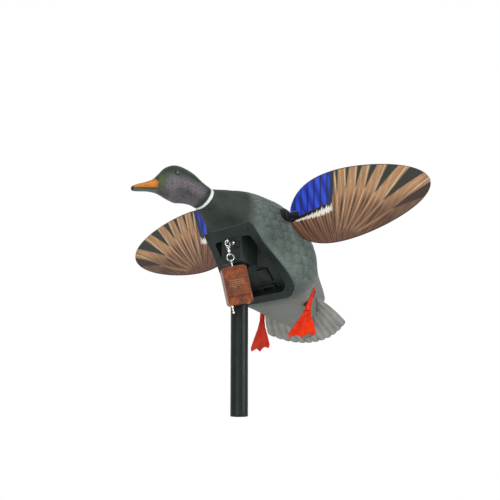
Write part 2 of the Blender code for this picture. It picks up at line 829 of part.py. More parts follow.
tray = prism("belly_tray", outline_of(TRAY_HALF), TRAY_FACE_Z, tray_top, TRAY, frame)
tub = prism("add_tub", tub_outer, TRAY_FACE_Z, TUB_FLOOR_Z + TUB_FLOOR, None, frame)
recess = prism("cut_recess", outline_of(TUB_HALF), -90.0 * MM, TUB_FLOOR_Z, None, frame)
block = box(
    "add_block",
    (-BLOCK_HALF, BLOCK_FRONT_Y, BLOCK_BOTTOM),
    (BLOCK_HALF, BLOCK_REAR_Y, BLOCK_TOP_Z),
    None,
    bird,
    1.5 * MM,
)
sleeve_bore = rod(
    "cut_sleeve_bore", sleeve_outer + GAP, (0.0, 0.0, 200.0 * MM), 110.0 * MM, "Z", None, bird, 32
)
join(tray, tub)
cut(tray, recess)
join(tray, block)
cut(tray, sleeve_bore)
door_room = box(
    "cut_door_room",
    (-DOOR_HALF - GAP, DOOR_FRONT_Y - GAP, -60.0 * MM),
    (DOOR_HALF + GAP, 77.5 * MM, -50.0 * MM),
    None,
    frame,
)
knuckle_room = box(
    "cut_knuckle_room",
    (-KNUCKLE_HALF - GAP, 76.0 * MM, -60.0 * MM),
    (KNUCKLE_HALF + GAP, 82.4 * MM, -50.0 * MM),
    None,
    frame,
)
cut(tray, door_room, knuckle_room)
for name, side in SIDES:
    inner = side * (KNUCKLE_HALF + 2 * GAP)
    lug = rod(
        f"add_lug_{name}",
        KNUCKLE_RADIUS,
        (inner, DOOR_HINGE_Y, DOOR_HINGE_Z),
        side * 4.3 * MM,
        "X",
        None,
        frame,
    )
    low, high = sorted((inner, inner + side * 4.3 * MM))
    arm = box(
        f"add_lug_arm_{name}",
        (low, DOOR_HINGE_Y, DOOR_HINGE_Z - KNUCKLE_RADIUS),
        (high, 85.0 * MM, TUB_FLOOR_Z + 1.0 * MM),
        None,
        frame,
    )
    join(tray, lug, arm)
pin_bore = rod(
    "cut_pin_bore",
    PIN_RADIUS + GAP,
    (-15.0 * MM, DOOR_HINGE_Y, DOOR_HINGE_Z),
    30.0 * MM,
    "X",
    None,
    frame,
    16,
)
cut(tray, pin_bore)
rod(
    "door_hinge_pin",
    PIN_RADIUS,
    (-13.6 * MM, DOOR_HINGE_Y, DOOR_HINGE_Z),
    27.2 * MM,
    "X",
    STEEL,
    frame,
    16,
)
for i, (x, y) in enumerate(spots):
    sink = rod(
        f"cut_sink_{i}",
        SCREW_HEAD_RADIUS + GAP,
        (x, y, -80.0 * MM),
        TRAY_FACE_Z + 1.2 * MM + 80.0 * MM,
        "Z",
        None,
        frame,
        14,
    )
    hole = rod(
        f"cut_tray_hole_{i}",
        SCREW_SHANK_RADIUS + GAP,
        (x, y, -80.0 * MM),
        12.0 * MM,
        "Z",
        None,
        frame,
        10,
    )
    cut(tray, sink, hole)
    turned(
        f"tray_screw_{i + 1}",
        (
            (0.0, 0.0),
            (SCREW_HEAD_RADIUS - 0.3 * MM, 0.0),
            (SCREW_HEAD_RADIUS, 0.3 * MM),
            (SCREW_HEAD_RADIUS, SCREW_HEAD),
            (SCREW_SHANK_RADIUS, SCREW_HEAD),
            (SCREW_SHANK_RADIUS, SCREW_LENGTH - 1.0 * MM),
            (0.0, SCREW_LENGTH),
        ),
        STEEL,
        frame,
        12,
        location=(x, y, TRAY_FACE_Z),
    )


# ---------------------------------------------------------------- power button

pocket = rod(
    "cut_switch_pocket",
    SWITCH_RADIUS + GAP,
    (SWITCH_X, -25.0 * MM, SWITCH_Z),
    25.0 * MM + BLOCK_FRONT_Y + 3.2 * MM,
    "Y",
    None,
    bird,
    28,
)
cut(tray, pocket)
face_y = 1.5 * MM
turned(
    "power_button",
    (
        (0.0, face_y),
        (SWITCH_RADIUS, face_y),
        (SWITCH_RADIUS, -1.2 * MM),
        (SWITCH_RADIUS - 0.8 * MM, -2.4 * MM),
        (SWITCH_RADIUS - 2.4 * MM, -3.2 * MM),
        (0.0, -3.5 * MM),
    ),
    BLACK,
    bird,
    28,
    "Y",
    location=(SWITCH_X, BLOCK_FRONT_Y, SWITCH_Z),
)


# ---------------------------------------------------------------- motor, axle and hubs

motor = rod("motor_can", MOTOR_RADIUS, (-MOTOR_LENGTH / 2, 0.0, 0.0), MOTOR_LENGTH, "X", STEEL, frame, 36)
nose = rod("add_motor_nose", 4.0 * MM, (-19.0 * MM, 0.0, 0.0), 38.0 * MM, "X", None, frame)
shaft_bore = rod("cut_motor_bore", AXLE_RADIUS + GAP, (-25.0 * MM, 0.0, 0.0), 50.0 * MM, "X", None, frame)
join(motor, nose)
cut(motor, shaft_bore)

saddle = (
    (-20.0, -22.0),
    (-20.0, -0.3),
    (20.0, -0.3),
    (20.0, -22.0),
    (16.0, -22.0),
    (16.0, -49.5),
    (24.0, -49.5),
)
saddle += ((24.0, -52.5), (12.0, -52.5), (12.0, -22.0))
cradle = prism(
    "motor_cradle", [(-z * MM, y * MM) for y, z in saddle], -14.0 * MM, 14.0 * MM, BLACK, frame, "X"
)
room = rod("cut_motor_room", MOTOR_RADIUS + GAP, (-30.0 * MM, 0.0, 0.0), 60.0 * MM, "X", None, frame, 36)
cut(cradle, room)

inner = (MOTOR_RADIUS + GAP) / MM
outer = inner + STRAP_THICKNESS / MM
lift = math.degrees(math.asin(1.5 / outer))
band = [(20.0, 0.0), (20.0, 1.5)]
band += arc(0.0, 0.0, outer, lift, 180.0 - lift, 20)
band += [(-20.0, 1.5), (-20.0, 0.0)]
band += arc(0.0, 0.0, inner, 180.0, 0.0, 20)
strap = prism("motor_strap", [(-z * MM, y * MM) for y, z in band], -6.0 * MM, 6.0 * MM, STEEL, frame, "X")
for i, y in enumerate((-18.0 * MM, 18.0 * MM)):
    hole = rod(f"cut_strap_hole_{i}", 1.3 * MM, (0.0, y, -8.3 * MM), 12.0 * MM, "Z", None, frame, 16)
    cut(strap, hole)
    cut(cradle, hole)
    turned(
        f"strap_screw_{i + 1}",
        (
            (0.0, -8.0 * MM),
            (1.0 * MM, -7.2 * MM),
            (1.0 * MM, 1.8 * MM),
            (1.9 * MM, 1.8 * MM),
            (1.9 * MM, 3.0 * MM),
            (0.0, 3.2 * MM),
        ),
        STEEL,
        frame,
        12,
        location=(0.0, y, 0.0),
    )

rod("axle_shaft", AXLE_RADIUS, (-52.5 * MM, 0.0, 0.0), 105.0 * MM, "X", STEEL, axle, 24)
stem = 4.3 * MM
for name, side in SIDES:
    turned(
        f"axle_bush_{name}",
        [
            (radius, side * x)
            for radius, x in (
                (stem + GAP, BUSH_INNER_X),
                (BUSH_SLEEVE_RADIUS, BUSH_INNER_X),
                (BUSH_SLEEVE_RADIUS, BUSH_FLANGE_X),
                (BUSH_FLANGE_RADIUS, BUSH_FLANGE_X),
                (BUSH_FLANGE_RADIUS, BUSH_FACE_X - 1.0 * MM),
                (BUSH_FLANGE_RADIUS - 1.5 * MM, BUSH_FACE_X),
                (stem + GAP, BUSH_FACE_X),
            )
        ],
        BLACK,
        frame,
        24,
        "X",
    )
    hub = turned(
        f"wing_hub_{name}",
        [
            (radius, side * x)
            for radius, x in (
                (AXLE_RADIUS + GAP, 38.0 * MM),
                (stem, 38.0 * MM),
                (stem, HUB_INNER_X),
                (HUB_COLLAR_RADIUS, HUB_INNER_X),
                (HUB_COLLAR_RADIUS, HUB_INNER_X + HUB_COLLAR_LENGTH - 0.6 * MM),
                (HUB_COLLAR_RADIUS - 0.6 * MM, HUB_INNER_X + HUB_COLLAR_LENGTH),
                (HUB_RADIUS, HUB_INNER_X + HUB_COLLAR_LENGTH),
                (HUB_RADIUS, HUB_OUTER_X - 1.0 * MM),
                (HUB_RADIUS - 0.8 * MM, HUB_OUTER_X),
                (0.0, HUB_OUTER_X),
                (0.0, 52.8 * MM),
                (AXLE_RADIUS + GAP, 52.8 * MM),
            )
        ],
        BLACK,
        axle,
        20,
        "X",
    )
    slot_half = WING_THICKNESS / 2 + GAP
    low, high = sorted((side * (WING_ROOT_X - 2 * GAP), side * (HUB_OUTER_X + 5.0 * MM)))
    slot = box(
        f"cut_wing_slot_{name}", (low, -slot_half, -10.0 * MM), (high, slot_half, 10.0 * MM), None, axle
    )
    seat = WING_ROOT_X - 2 * GAP - MAGNET_LENGTH - 2 * GAP
    pocket = rod(
        f"cut_magnet_pocket_{name}",
        MAGNET_RADIUS + GAP,
        (side * seat, 0.0, 0.0),
        side * (MAGNET_LENGTH + 3 * GAP),
        "X",
        None,
        axle,
        16,
    )
    cut(hub, slot, pocket)
    rod(
        f"hub_magnet_{name}",
        MAGNET_RADIUS,
        (side * (seat + GAP), 0.0, 0.0),
        side * MAGNET_LENGTH,
        "X",
        STEEL,
        axle,
        16,
    )


# ---------------------------------------------------------------- wings

wing_outline = []
for i in range(48):
    turn = 2 * math.pi * i / 48
    c = math.cos(turn)
    s = math.sin(turn)
    full = 1.0 + WING_TAPER * c + WING_FULLNESS * c * c
    wing_outline.append(
        (WING_ROOT_X + WING_LENGTH / 2 * (1.0 + c), WING_OFFSET + WING_CHORD / 2 * s * full)
    )
for name, side in SIDES:
    points = [(side * x, z) for x, z in wing_outline]
    half = WING_THICKNESS / 2
    prism(f"wing_{name}", points, -half, half, WING, axle, "-Y")


# ---------------------------------------------------------------- battery bay and board

bay = box(
    "battery_box",
    (-DOOR_HALF - 0.5 * MM, BOX_FRONT_Y, TUB_FLOOR_Z + TUB_FLOOR + GAP),
    (DOOR_HALF + 0.5 * MM, BOX_FRONT_Y + CELL_LENGTH + 2 * BOX_WALL + 2.0 * MM, BOX_TOP_Z),
    BLACK,
    frame,
)
inside = box(
    "cut_bay_inside",
    (-DOOR_HALF - 0.5 * MM + BOX_WALL, BOX_FRONT_Y + BOX_WALL, -70.0 * MM),
    (DOOR_HALF + 0.5 * MM - BOX_WALL, BOX_FRONT_Y + BOX_WALL + CELL_LENGTH + 2.0 * MM, BOX_TOP_Z - BOX_WALL),
    None,
    frame,
)
cut(bay, inside)
strip_y = BOX_FRONT_Y + BOX_WALL + GAP
cell_y = strip_y + 0.4 * MM + GAP
for name, y in (("front", strip_y), ("rear", cell_y + CELL_LENGTH + GAP)):
    box(
        f"contact_strip_{name}",
        (-28.5 * MM, y, CELL_Z - 5.5 * MM),
        (28.5 * MM, y + 0.4 * MM, CELL_Z + 5.5 * MM),
        STEEL,
        frame,
    )
for i in range(CELL_COUNT):
    flip = -1 if i % 2 else 1
    middle = cell_y + CELL_LENGTH / 2
    half = CELL_LENGTH / 2
    turned(
        f"cell_{i + 1}",
        [
            (radius, flip * y)
            for radius, y in (
                (0.0, -half),
                (CELL_RADIUS - 0.8 * MM, -half),
                (CELL_RADIUS, -half + 0.8 * MM),
                (CELL_RADIUS, half - 2.0 * MM),
                (CELL_RADIUS - 0.8 * MM, half - 1.2 * MM),
                (2.7 * MM, half - 1.2 * MM),
                (2.7 * MM, half),
                (0.0, half),
            )
        ],
        CELL,
        frame,
        16,
        "Y",
        location=((i - (CELL_COUNT - 1) / 2) * CELL_PITCH, middle, CELL_Z),
    )
box(
    "receiver_board",
    (-20.0 * MM, 36.0 * MM, BOX_TOP_Z + GAP),
    (20.0 * MM, 74.0 * MM, BOX_TOP_Z + GAP + 1.6 * MM),
    BOARD,
    frame,
)


# ---------------------------------------------------------------- battery door and latch

hinge = empty("door_hinge", (0.0, DOOR_HINGE_Y, DOOR_HINGE_Z), parent=frame)
door_rear = -KNUCKLE_RADIUS
door_low = TUB_FLOOR_Z - DOOR_HINGE_Z
door_high = door_low + DOOR_THICKNESS
door = box(
    "battery_door",
    (-DOOR_HALF, DOOR_FRONT_Y - DOOR_HINGE_Y, door_low),
    (DOOR_HALF, door_rear, door_high),
    TRAY,
    hinge,
)
arm = box(
    "add_door_arm",
    (-KNUCKLE_HALF, door_rear - 0.6 * MM, 0.0),
    (KNUCKLE_HALF, 0.0, door_high),
    None,
    hinge,
)
knuckle = rod(
    "add_knuckle", KNUCKLE_RADIUS, (-KNUCKLE_HALF, 0.0, 0.0), 2 * KNUCKLE_HALF, "X", None, hinge
)
pin_hole = rod(
    "cut_knuckle_hole", PIN_RADIUS + GAP, (-15.0 * MM, 0.0, 0.0), 30.0 * MM, "X", None, hinge, 16
)
finger = box(
    "cut_finger_slot",
    (LATCH_X - 7.0 * MM, 42.5 * MM - DOOR_HINGE_Y, door_low - 2.0 * MM),
    (LATCH_X + 7.0 * MM, 47.0 * MM - DOOR_HINGE_Y, door_low + 0.9 * MM),
    None,
    hinge,
)
neck_low = LATCH_FRONT_Y + 7.5 * MM - DOOR_HINGE_Y
neck_slot = box(
    "cut_latch_slot",
    (LATCH_X - 4.0 * MM - GAP, neck_low - GAP, door_low - 3.0 * MM),
    (LATCH_X + 4.0 * MM + GAP, neck_low + 8.0 * MM + LATCH_TRAVEL + GAP, door_high + 3.0 * MM),
    None,
    hinge,
)
join(door, arm, knuckle)
cut(door, pin_hole, finger, neck_slot)
slide = empty("latch_slide", (LATCH_X, LATCH_FRONT_Y - DOOR_HINGE_Y, door_low - GAP), parent=hinge)
latch = box(
    "door_latch",
    (-LATCH_SIZE / 2, 0.0, -LATCH_HEIGHT),
    (LATCH_SIZE / 2, LATCH_LENGTH, 0.0),
    TRAY,
    slide,
    0.6 * MM,
)
latch_neck = box(
    "add_latch_neck", (-4.0 * MM, 7.5 * MM, -1.0 * MM), (4.0 * MM, 15.5 * MM, 2.0 * MM), None, slide
)
join(latch, latch_neck)


# ---------------------------------------------------------------- lanyard eye and chain

chain = empty("lanyard_swing", (CHAIN_X, CHAIN_Y, CHAIN_Z), (0.0, -CHAIN_TILT, CHAIN_TURN), bird)
back = Vector((-math.sin(CHAIN_TURN), math.cos(CHAIN_TURN), 0.0))
eye_centre = Vector((CHAIN_X, CHAIN_Y, CHAIN_Z + EYE_RADIUS))
stem_x = (eye_centre + back * EYE_RADIUS).x
stem_y = (eye_centre + back * EYE_RADIUS).y
lanyard = ring(
    "lanyard_eye",
    EYE_RADIUS,
    WIRE_RADIUS,
    (0.0, 0.0, 0.0),
    "X",
    CHROME,
    bird,
    18,
    6,
    location=eye_centre,
    rotation=(0.0, 0.0, CHAIN_TURN),
)
hole_end = BLOCK_FRONT_Y + 2.0 * MM
stem_rod = rod(
    "add_lanyard_stem",
    1.2 * MM,
    (stem_x, stem_y - 0.3 * MM, eye_centre.z),
    hole_end - GAP - stem_y + 0.3 * MM,
    "Y",
    None,
    bird,
    16,
)
washer = rod(
    "add_lanyard_washer",
    2.6 * MM,
    (stem_x, BLOCK_FRONT_Y - GAP - 0.9 * MM, eye_centre.z),
    0.9 * MM,
    "Y",
    None,
    bird,
    20,
)
join(lanyard, stem_rod, washer)
cut(
    tray,
    rod("cut_stem_hole", 1.5 * MM, (stem_x, -25.0 * MM, eye_centre.z), 25.0 * MM + hole_end, "Y", None, bird, 16),
)

hook = [(0.0, -4.6), (-2.4, -3.9), (-3.2, -2.2)]
hook += arc(0.0, 0.0, HOOK_RADIUS / MM, 180.0, 32.0, 8)
hook_points = [(x * MM, 0.0, z * MM) for x, z in hook]
clasp = wire_path("snap_clasp", hook_points, HOOK_WIRE, CHROME, chain)
clasp_body = box(
    "add_clasp_body",
    (-2.6 * MM, -1.5 * MM, CLASP_BOTTOM),
    (2.6 * MM, 1.5 * MM, -4.2 * MM),
    None,
    chain,
    0.5 * MM,
)
gate_x = 3.2 * MM
gate_z = -3.4 * MM
cheek = box(
    "add_clasp_cheek",
    (1.4 * MM, -1.5 * MM, -5.4 * MM),
    (4.4 * MM, 1.5 * MM, -4.5 * MM),
    None,
    chain,
)
stem_room = rod("cut_swivel_stem", 1.1 * MM, (0.0, 0.0, -12.0 * MM), 6.6 * MM, "Z", None, chain, 16)
join(clasp, clasp_body, cheek)
cut(clasp, stem_room)
gate_pivot = empty("gate_pivot", (gate_x, 0.0, gate_z), parent=chain)
rod("clasp_gate", 0.75 * MM, (0.0, 0.0, -0.7 * MM), 4.7 * MM, "Z", CHROME, gate_pivot, 16)

turn = empty("swivel_turn", (0.0, 0.0, CLASP_BOTTOM), parent=chain)
shift = {"location": (0.0, 0.0, -CLASP_BOTTOM)}
swivel = turned(
    "swivel_eye",
    (
        (0.0, -5.7 * MM),
        (0.8 * MM, -5.7 * MM),
        (0.8 * MM, CLASP_BOTTOM - GAP),
        (BARREL_RADIUS - 0.4 * MM, CLASP_BOTTOM - GAP),
        (BARREL_RADIUS, CLASP_BOTTOM - 0.8 * MM),
        (BARREL_RADIUS, CLASP_BOTTOM - 2.4 * MM),
        (BARREL_RADIUS - 0.4 * MM, CLASP_BOTTOM - 2.8 * MM),
        (BARREL_RADIUS, CLASP_BOTTOM - 3.2 * MM),
        (BARREL_RADIUS, BARREL_BOTTOM + 1.2 * MM),
        (1.2 * MM, BARREL_BOTTOM),
        (0.0, BARREL_BOTTOM),
    ),
    CHROME,
    turn,
    14,
    **shift,
)
swivel_ring = ring(
    "add_swivel_ring",
    SWIVEL_EYE_RADIUS,
    SWIVEL_EYE_WIRE,
    (0.0, 0.0, SWIVEL_EYE_Z),
    "X",
    None,
    turn,
    16,
    6,
    **shift,
)
join(swivel, swivel_ring)

ring_pivot = empty("ring_swing", (0.0, 0.0, SWIVEL_EYE_Z - CLASP_BOTTOM), parent=turn)
ring("key_ring", RING_RADIUS, RING_WIRE, (0.0, 0.0, -RING_RADIUS), "Y", CHROME, ring_pivot, 28, 6)
remote = empty("remote_swing", (0.0, 0.0, -2 * RING_RADIUS), parent=ring_pivot)
shift = {"location": (0.0, 0.0, -LUG_Z)}
lug = ring(
    "remote_lug",
    SWIVEL_EYE_RADIUS,
    SWIVEL_EYE_WIRE,
    (0.0, 0.0, LUG_Z),
    "X",
    CHROME,
    remote,
    16,
    6,
    **shift,
)
lug_top = LUG_Z - SWIVEL_EYE_RADIUS
lug_rod = rod(
    "add_lug_rod",
    1.3 * MM,
    (0.0, 0.0, REMOTE_TOP - 3.6 * MM),
    lug_top - REMOTE_TOP + 3.6 * MM,
    "Z",
    None,
    remote,
    16,
    **shift,
)
lug_foot = rod(
    "add_lug_foot",
    2.3 * MM,
    (0.0, 0.0, REMOTE_TOP - 3.6 * MM),
    1.2 * MM,
    "Z",
    None,
    remote,
    16,
    **shift,
)
join(lug, lug_rod, lug_foot)


# ---------------------------------------------------------------- remote

def fob_outline(inset):
    """The remote's outline inside its edge."""
    half = REMOTE_WIDTH / 2 - inset
    top = REMOTE_TOP - inset
    low = REMOTE_TOP - REMOTE_LENGTH + inset
    r = REMOTE_CORNER - min(inset, 3.0 * MM)
    return rounded(((half, low, r), (half, top, r), (-half, top, r), (-half, low, r)))


face = REMOTE_HALF_DEPTH
floor = face - COVER_THICKNESS - GAP
split = GAP / 2
front = prism("remote_front_shell", fob_outline(0.0), split, face, WOOD, remote, "-Y", **shift)
back_shell = prism("remote_back_shell", fob_outline(0.0), -face, -split, WOOD, remote, "-Y", **shift)
front_room = prism(
    "cut_front_room",
    fob_outline(REMOTE_WALL),
    -1.0 * MM,
    floor - REMOTE_WALL,
    None,
    remote,
    "-Y",
    **shift,
)
back_room = prism(
    "cut_back_room",
    fob_outline(REMOTE_WALL),
    -face + REMOTE_WALL,
    1.0 * MM,
    None,
    remote,
    "-Y",
    **shift,
)
fob_low = REMOTE_TOP - REMOTE_LENGTH
track = box(
    "cut_cover_track",
    (-COVER_HALF - GAP, -face - 2.0 * MM, fob_low - 5.0 * MM),
    (COVER_HALF + GAP, -floor, REMOTE_TOP - COVER_DROP + GAP),
    None,
    remote,
    **shift,
)
groove = box(
    "cut_cover_groove",
    (-COVER_HALF - 1.0 * MM - GAP, -floor - 1.4 * MM, fob_low - 5.0 * MM),
    (COVER_HALF + 1.0 * MM + GAP, -floor, REMOTE_TOP - COVER_DROP + GAP),
    None,
    remote,
    **shift,
)
cut(front, front_room, track, groove)
cut(back_shell, back_room)

cover_top = REMOTE_TOP - COVER_DROP
cover = box(
    "remote_cover",
    (-COVER_HALF, -face, cover_top - COVER_LENGTH),
    (COVER_HALF, -face + COVER_THICKNESS, cover_top),
    WOOD,
    remote,
    **shift,
)
tongue = box(
    "add_cover_tongue",
    (-COVER_HALF - 1.0 * MM, -face + 1.0 * MM, cover_top - COVER_LENGTH + 1.0 * MM),
    (COVER_HALF + 1.0 * MM, -face + COVER_THICKNESS, cover_top - 1.0 * MM),
    None,
    remote,
    **shift,
)
thumb = rod(
    "cut_thumb_arc",
    9.0 * MM,
    (0.0, -face - 7.9 * MM, cover_top - 28.0 * MM),
    3.2 * MM,
    "Z",
    None,
    remote,
    32,
    **shift,
)
join(cover, tongue)
cut(cover, thumb)

for name, x in (("on", -BUTTON_X), ("off", BUTTON_X)):
    z = REMOTE_TOP - BUTTON_DROP
    turned(
        f"remote_button_{name}",
        (
            (0.0, 0.0),
            (BUTTON_RADIUS - 0.4 * MM, 0.0),
            (BUTTON_RADIUS, 0.4 * MM),
            (BUTTON_RADIUS, 2.2 * MM),
            (BUTTON_RADIUS + 0.9 * MM, 2.2 * MM),
            (BUTTON_RADIUS + 0.9 * MM, 2.9 * MM),
            (0.0, 2.9 * MM),
        ),
        BLACK,
        remote,
        16,
        "Y",
        location=(x, -floor, z - LUG_Z),
    )
    hole = rod(
        f"cut_button_{name}",
        BUTTON_RADIUS + GAP,
        (x, -face - 1.0 * MM, z),
        face - 0.5 * MM,
        "Y",
        None,
        remote,
        16,
        **shift,
    )
    cut(front, hole)

rod_hole = rod(
    "cut_antenna_hole",
    ANTENNA_TUBE_RADIUS + GAP,
    (ANTENNA_X, 0.0, fob_low - 3.0 * MM),
    8.0 * MM,
    "Z",
    None,
    remote,
    20,
    **shift,
)
lug_hole = rod(
    "cut_lug_hole",
    1.6 * MM,
    (0.0, 0.0, REMOTE_TOP - 2.2 * MM),
    6.0 * MM,
    "Z",
    None,
    remote,
    16,
    **shift,
)
cut(front, rod_hole, lug_hole)
cut(back_shell, rod_hole, lug_hole)
tube_top = fob_low + 34.0 * MM
tube_low = fob_low - 2.6 * MM
turned(
    "antenna_tube",
    (
        (ANTENNA_ROD_RADIUS + GAP, tube_low),
        (ANTENNA_TUBE_RADIUS, tube_low),
        (ANTENNA_TUBE_RADIUS, tube_top),
        (ANTENNA_ROD_RADIUS + GAP, tube_top),
    ),
    CHROME,
    remote,
    12,
    location=(ANTENNA_X, 0.0, -LUG_Z),
)
tip_low = fob_low - ANTENNA_REACH
turned(
    "antenna_rod",
    (
        (0.0, tube_top - 1.0 * MM),
        (ANTENNA_ROD_RADIUS, tube_top - 1.0 * MM),
        (ANTENNA_ROD_RADIUS, tip_low + 3.2 * MM),
        (ANTENNA_TIP_RADIUS, tip_low + 2.6 * MM),
        (ANTENNA_TIP_RADIUS, tip_low + 0.6 * MM),
        (ANTENNA_TIP_RADIUS - 0.6 * MM, tip_low),
        (0.0, tip_low),
    ),
    CHROME,
    remote,
    12,
    location=(ANTENNA_X, 0.0, -LUG_Z),
)
box(
    "remote_board",
    (-15.0 * MM, 1.0 * MM, REMOTE_TOP - 21.0 * MM),
    (15.0 * MM, 2.2 * MM, REMOTE_TOP - 6.5 * MM),
    BOARD,
    remote,
    **shift,
)
turned(
    "remote_cell",
    (
        (0.0, fob_low + 4.0 * MM),
        (REMOTE_CELL_RADIUS - 0.5 * MM, fob_low + 4.0 * MM),
        (REMOTE_CELL_RADIUS, fob_low + 4.5 * MM),
        (REMOTE_CELL_RADIUS, fob_low + 30.5 * MM),
        (REMOTE_CELL_RADIUS - 0.5 * MM, fob_low + 31.0 * MM),
        (0.0, fob_low + 31.0 * MM),
    ),
    CELL,
    remote,
    16,
    location=(8.0 * MM, 1.0 * MM, -LUG_Z),
)
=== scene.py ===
"""Looks of the motion wing decoy: finer surfaces and procedural materials around the CAD frame."""

import math

import bmesh
import bpy
import numpy as np
from mathutils import Matrix, Vector


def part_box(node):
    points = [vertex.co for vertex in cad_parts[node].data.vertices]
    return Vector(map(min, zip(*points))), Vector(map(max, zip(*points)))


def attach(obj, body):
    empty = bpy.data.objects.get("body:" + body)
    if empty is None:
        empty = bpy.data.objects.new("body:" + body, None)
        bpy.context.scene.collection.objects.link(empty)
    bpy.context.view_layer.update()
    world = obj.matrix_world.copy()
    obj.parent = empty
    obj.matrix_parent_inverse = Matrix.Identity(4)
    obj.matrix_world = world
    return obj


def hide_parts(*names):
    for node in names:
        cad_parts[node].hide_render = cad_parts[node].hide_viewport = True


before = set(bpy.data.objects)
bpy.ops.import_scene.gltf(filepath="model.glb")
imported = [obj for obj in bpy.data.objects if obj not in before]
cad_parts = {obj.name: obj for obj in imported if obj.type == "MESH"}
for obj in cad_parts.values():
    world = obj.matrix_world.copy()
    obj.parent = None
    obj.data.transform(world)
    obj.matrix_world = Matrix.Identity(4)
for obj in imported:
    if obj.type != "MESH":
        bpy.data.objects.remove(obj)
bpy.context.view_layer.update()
MM = 0.001

# Frames, as in the CAD. The bird's x runs to its left side, y to its tail and z to its back.
PITCH = math.radians(47.5)
WING_LEAN = math.radians(8.7)
AXLE = (0.0, 0.050, 0.295)
CHAIN_TOP = (0.0076, -0.033, 0.247)
CHAIN_TURN = 58.0
CHAIN_TILT = 12.5
BIRD = Matrix.Translation(AXLE) @ Matrix.Rotation(-PITCH, 4, "X")
WINGS = Matrix.Translation(AXLE) @ Matrix.Rotation(WING_LEAN, 4, "X")
EYE_FRAME = Matrix.Translation(CHAIN_TOP) @ Matrix.Rotation(math.radians(CHAIN_TURN), 4, "Z")
CHAIN = EYE_FRAME @ Matrix.Rotation(math.radians(-CHAIN_TILT), 4, "Y")
STAND = Matrix.Identity(4)
SIDES = (("left", 1), ("right", -1))
LEGS = (("left", 1, 24.0), ("right", -1, 5.5))  # the left leg leans further forward
LEG_ROOT = (0.050, 0.105, 0.1907)
LEG_TURN = 10.0


# ---------------------------------------------------------------- camera and light

CAMERA_PLACE = (0.9832, -0.9959, -0.1118)
CAMERA_AZIMUTH = 44.0
CAMERA_RISE = 14.25
CAMERA_LENS = 70.2
camera_data = bpy.data.cameras.new("camera")
camera_data.lens = CAMERA_LENS
camera_data.sensor_width = 36.0
camera = bpy.data.objects.new("camera", camera_data)
bpy.context.scene.collection.objects.link(camera)
camera.location = CAMERA_PLACE
camera.rotation_euler = (math.radians(90.0 + CAMERA_RISE), 0.0, math.radians(CAMERA_AZIMUTH))
bpy.context.scene.camera = camera

# A white backdrop behind the decoy and a dimmer room around it
world = bpy.data.worlds.new("studio")
world.use_nodes = True
BACKDROP = (-0.673, 0.697, 0.246)
sky = world.node_tree
direction = sky.nodes.new("ShaderNodeTexCoord")
towards = sky.nodes.new("ShaderNodeVectorMath")
towards.operation = "DOT_PRODUCT"
towards.inputs[1].default_value = BACKDROP
sky.links.new(direction.outputs["Generated"], towards.inputs[0])
fade = sky.nodes.new("ShaderNodeMapRange")
fade.inputs["From Min"].default_value = 0.60
fade.inputs["From Max"].default_value = 0.90
fade.inputs["To Min"].default_value = 0.58
fade.inputs["To Max"].default_value = 1.0
sky.links.new(towards.outputs["Value"], fade.inputs["Value"])
sky.links.new(fade.outputs["Result"], sky.nodes["Background"].inputs["Strength"])
sky.nodes["Background"].inputs["Color"].default_value = (1.0, 1.0, 1.0, 1.0)
bpy.context.scene.world = world
bpy.context.scene.view_settings.view_transform = "Standard"


def area_light(name, place, aim, size, power):
    data = bpy.data.lights.new(name, "AREA")
    data.size = size
    data.energy = power
    light = bpy.data.objects.new(name, data)
    bpy.context.scene.collection.objects.link(light)
    light.location = place
    light.rotation_euler = (Vector(aim) - Vector(place)).to_track_quat("-Z", "Y").to_euler()


area_light("key", (0.9, -1.1, 1.5), (0.0, 0.0, 0.28), 0.8, 24.0)
area_light("side", (1.6, 0.5, 0.5), (0.0, 0.05, 0.25), 0.8, 9.0)
area_light("low", (0.5, -1.3, -0.1), (0.0, 0.0, 0.25), 0.7, 4.5)


# ---------------------------------------------------------------- material nodes

def placed(name, data):
    """A new object in the scene."""
    made = bpy.data.objects.new(name, data)
    bpy.context.scene.collection.objects.link(made)
    return made


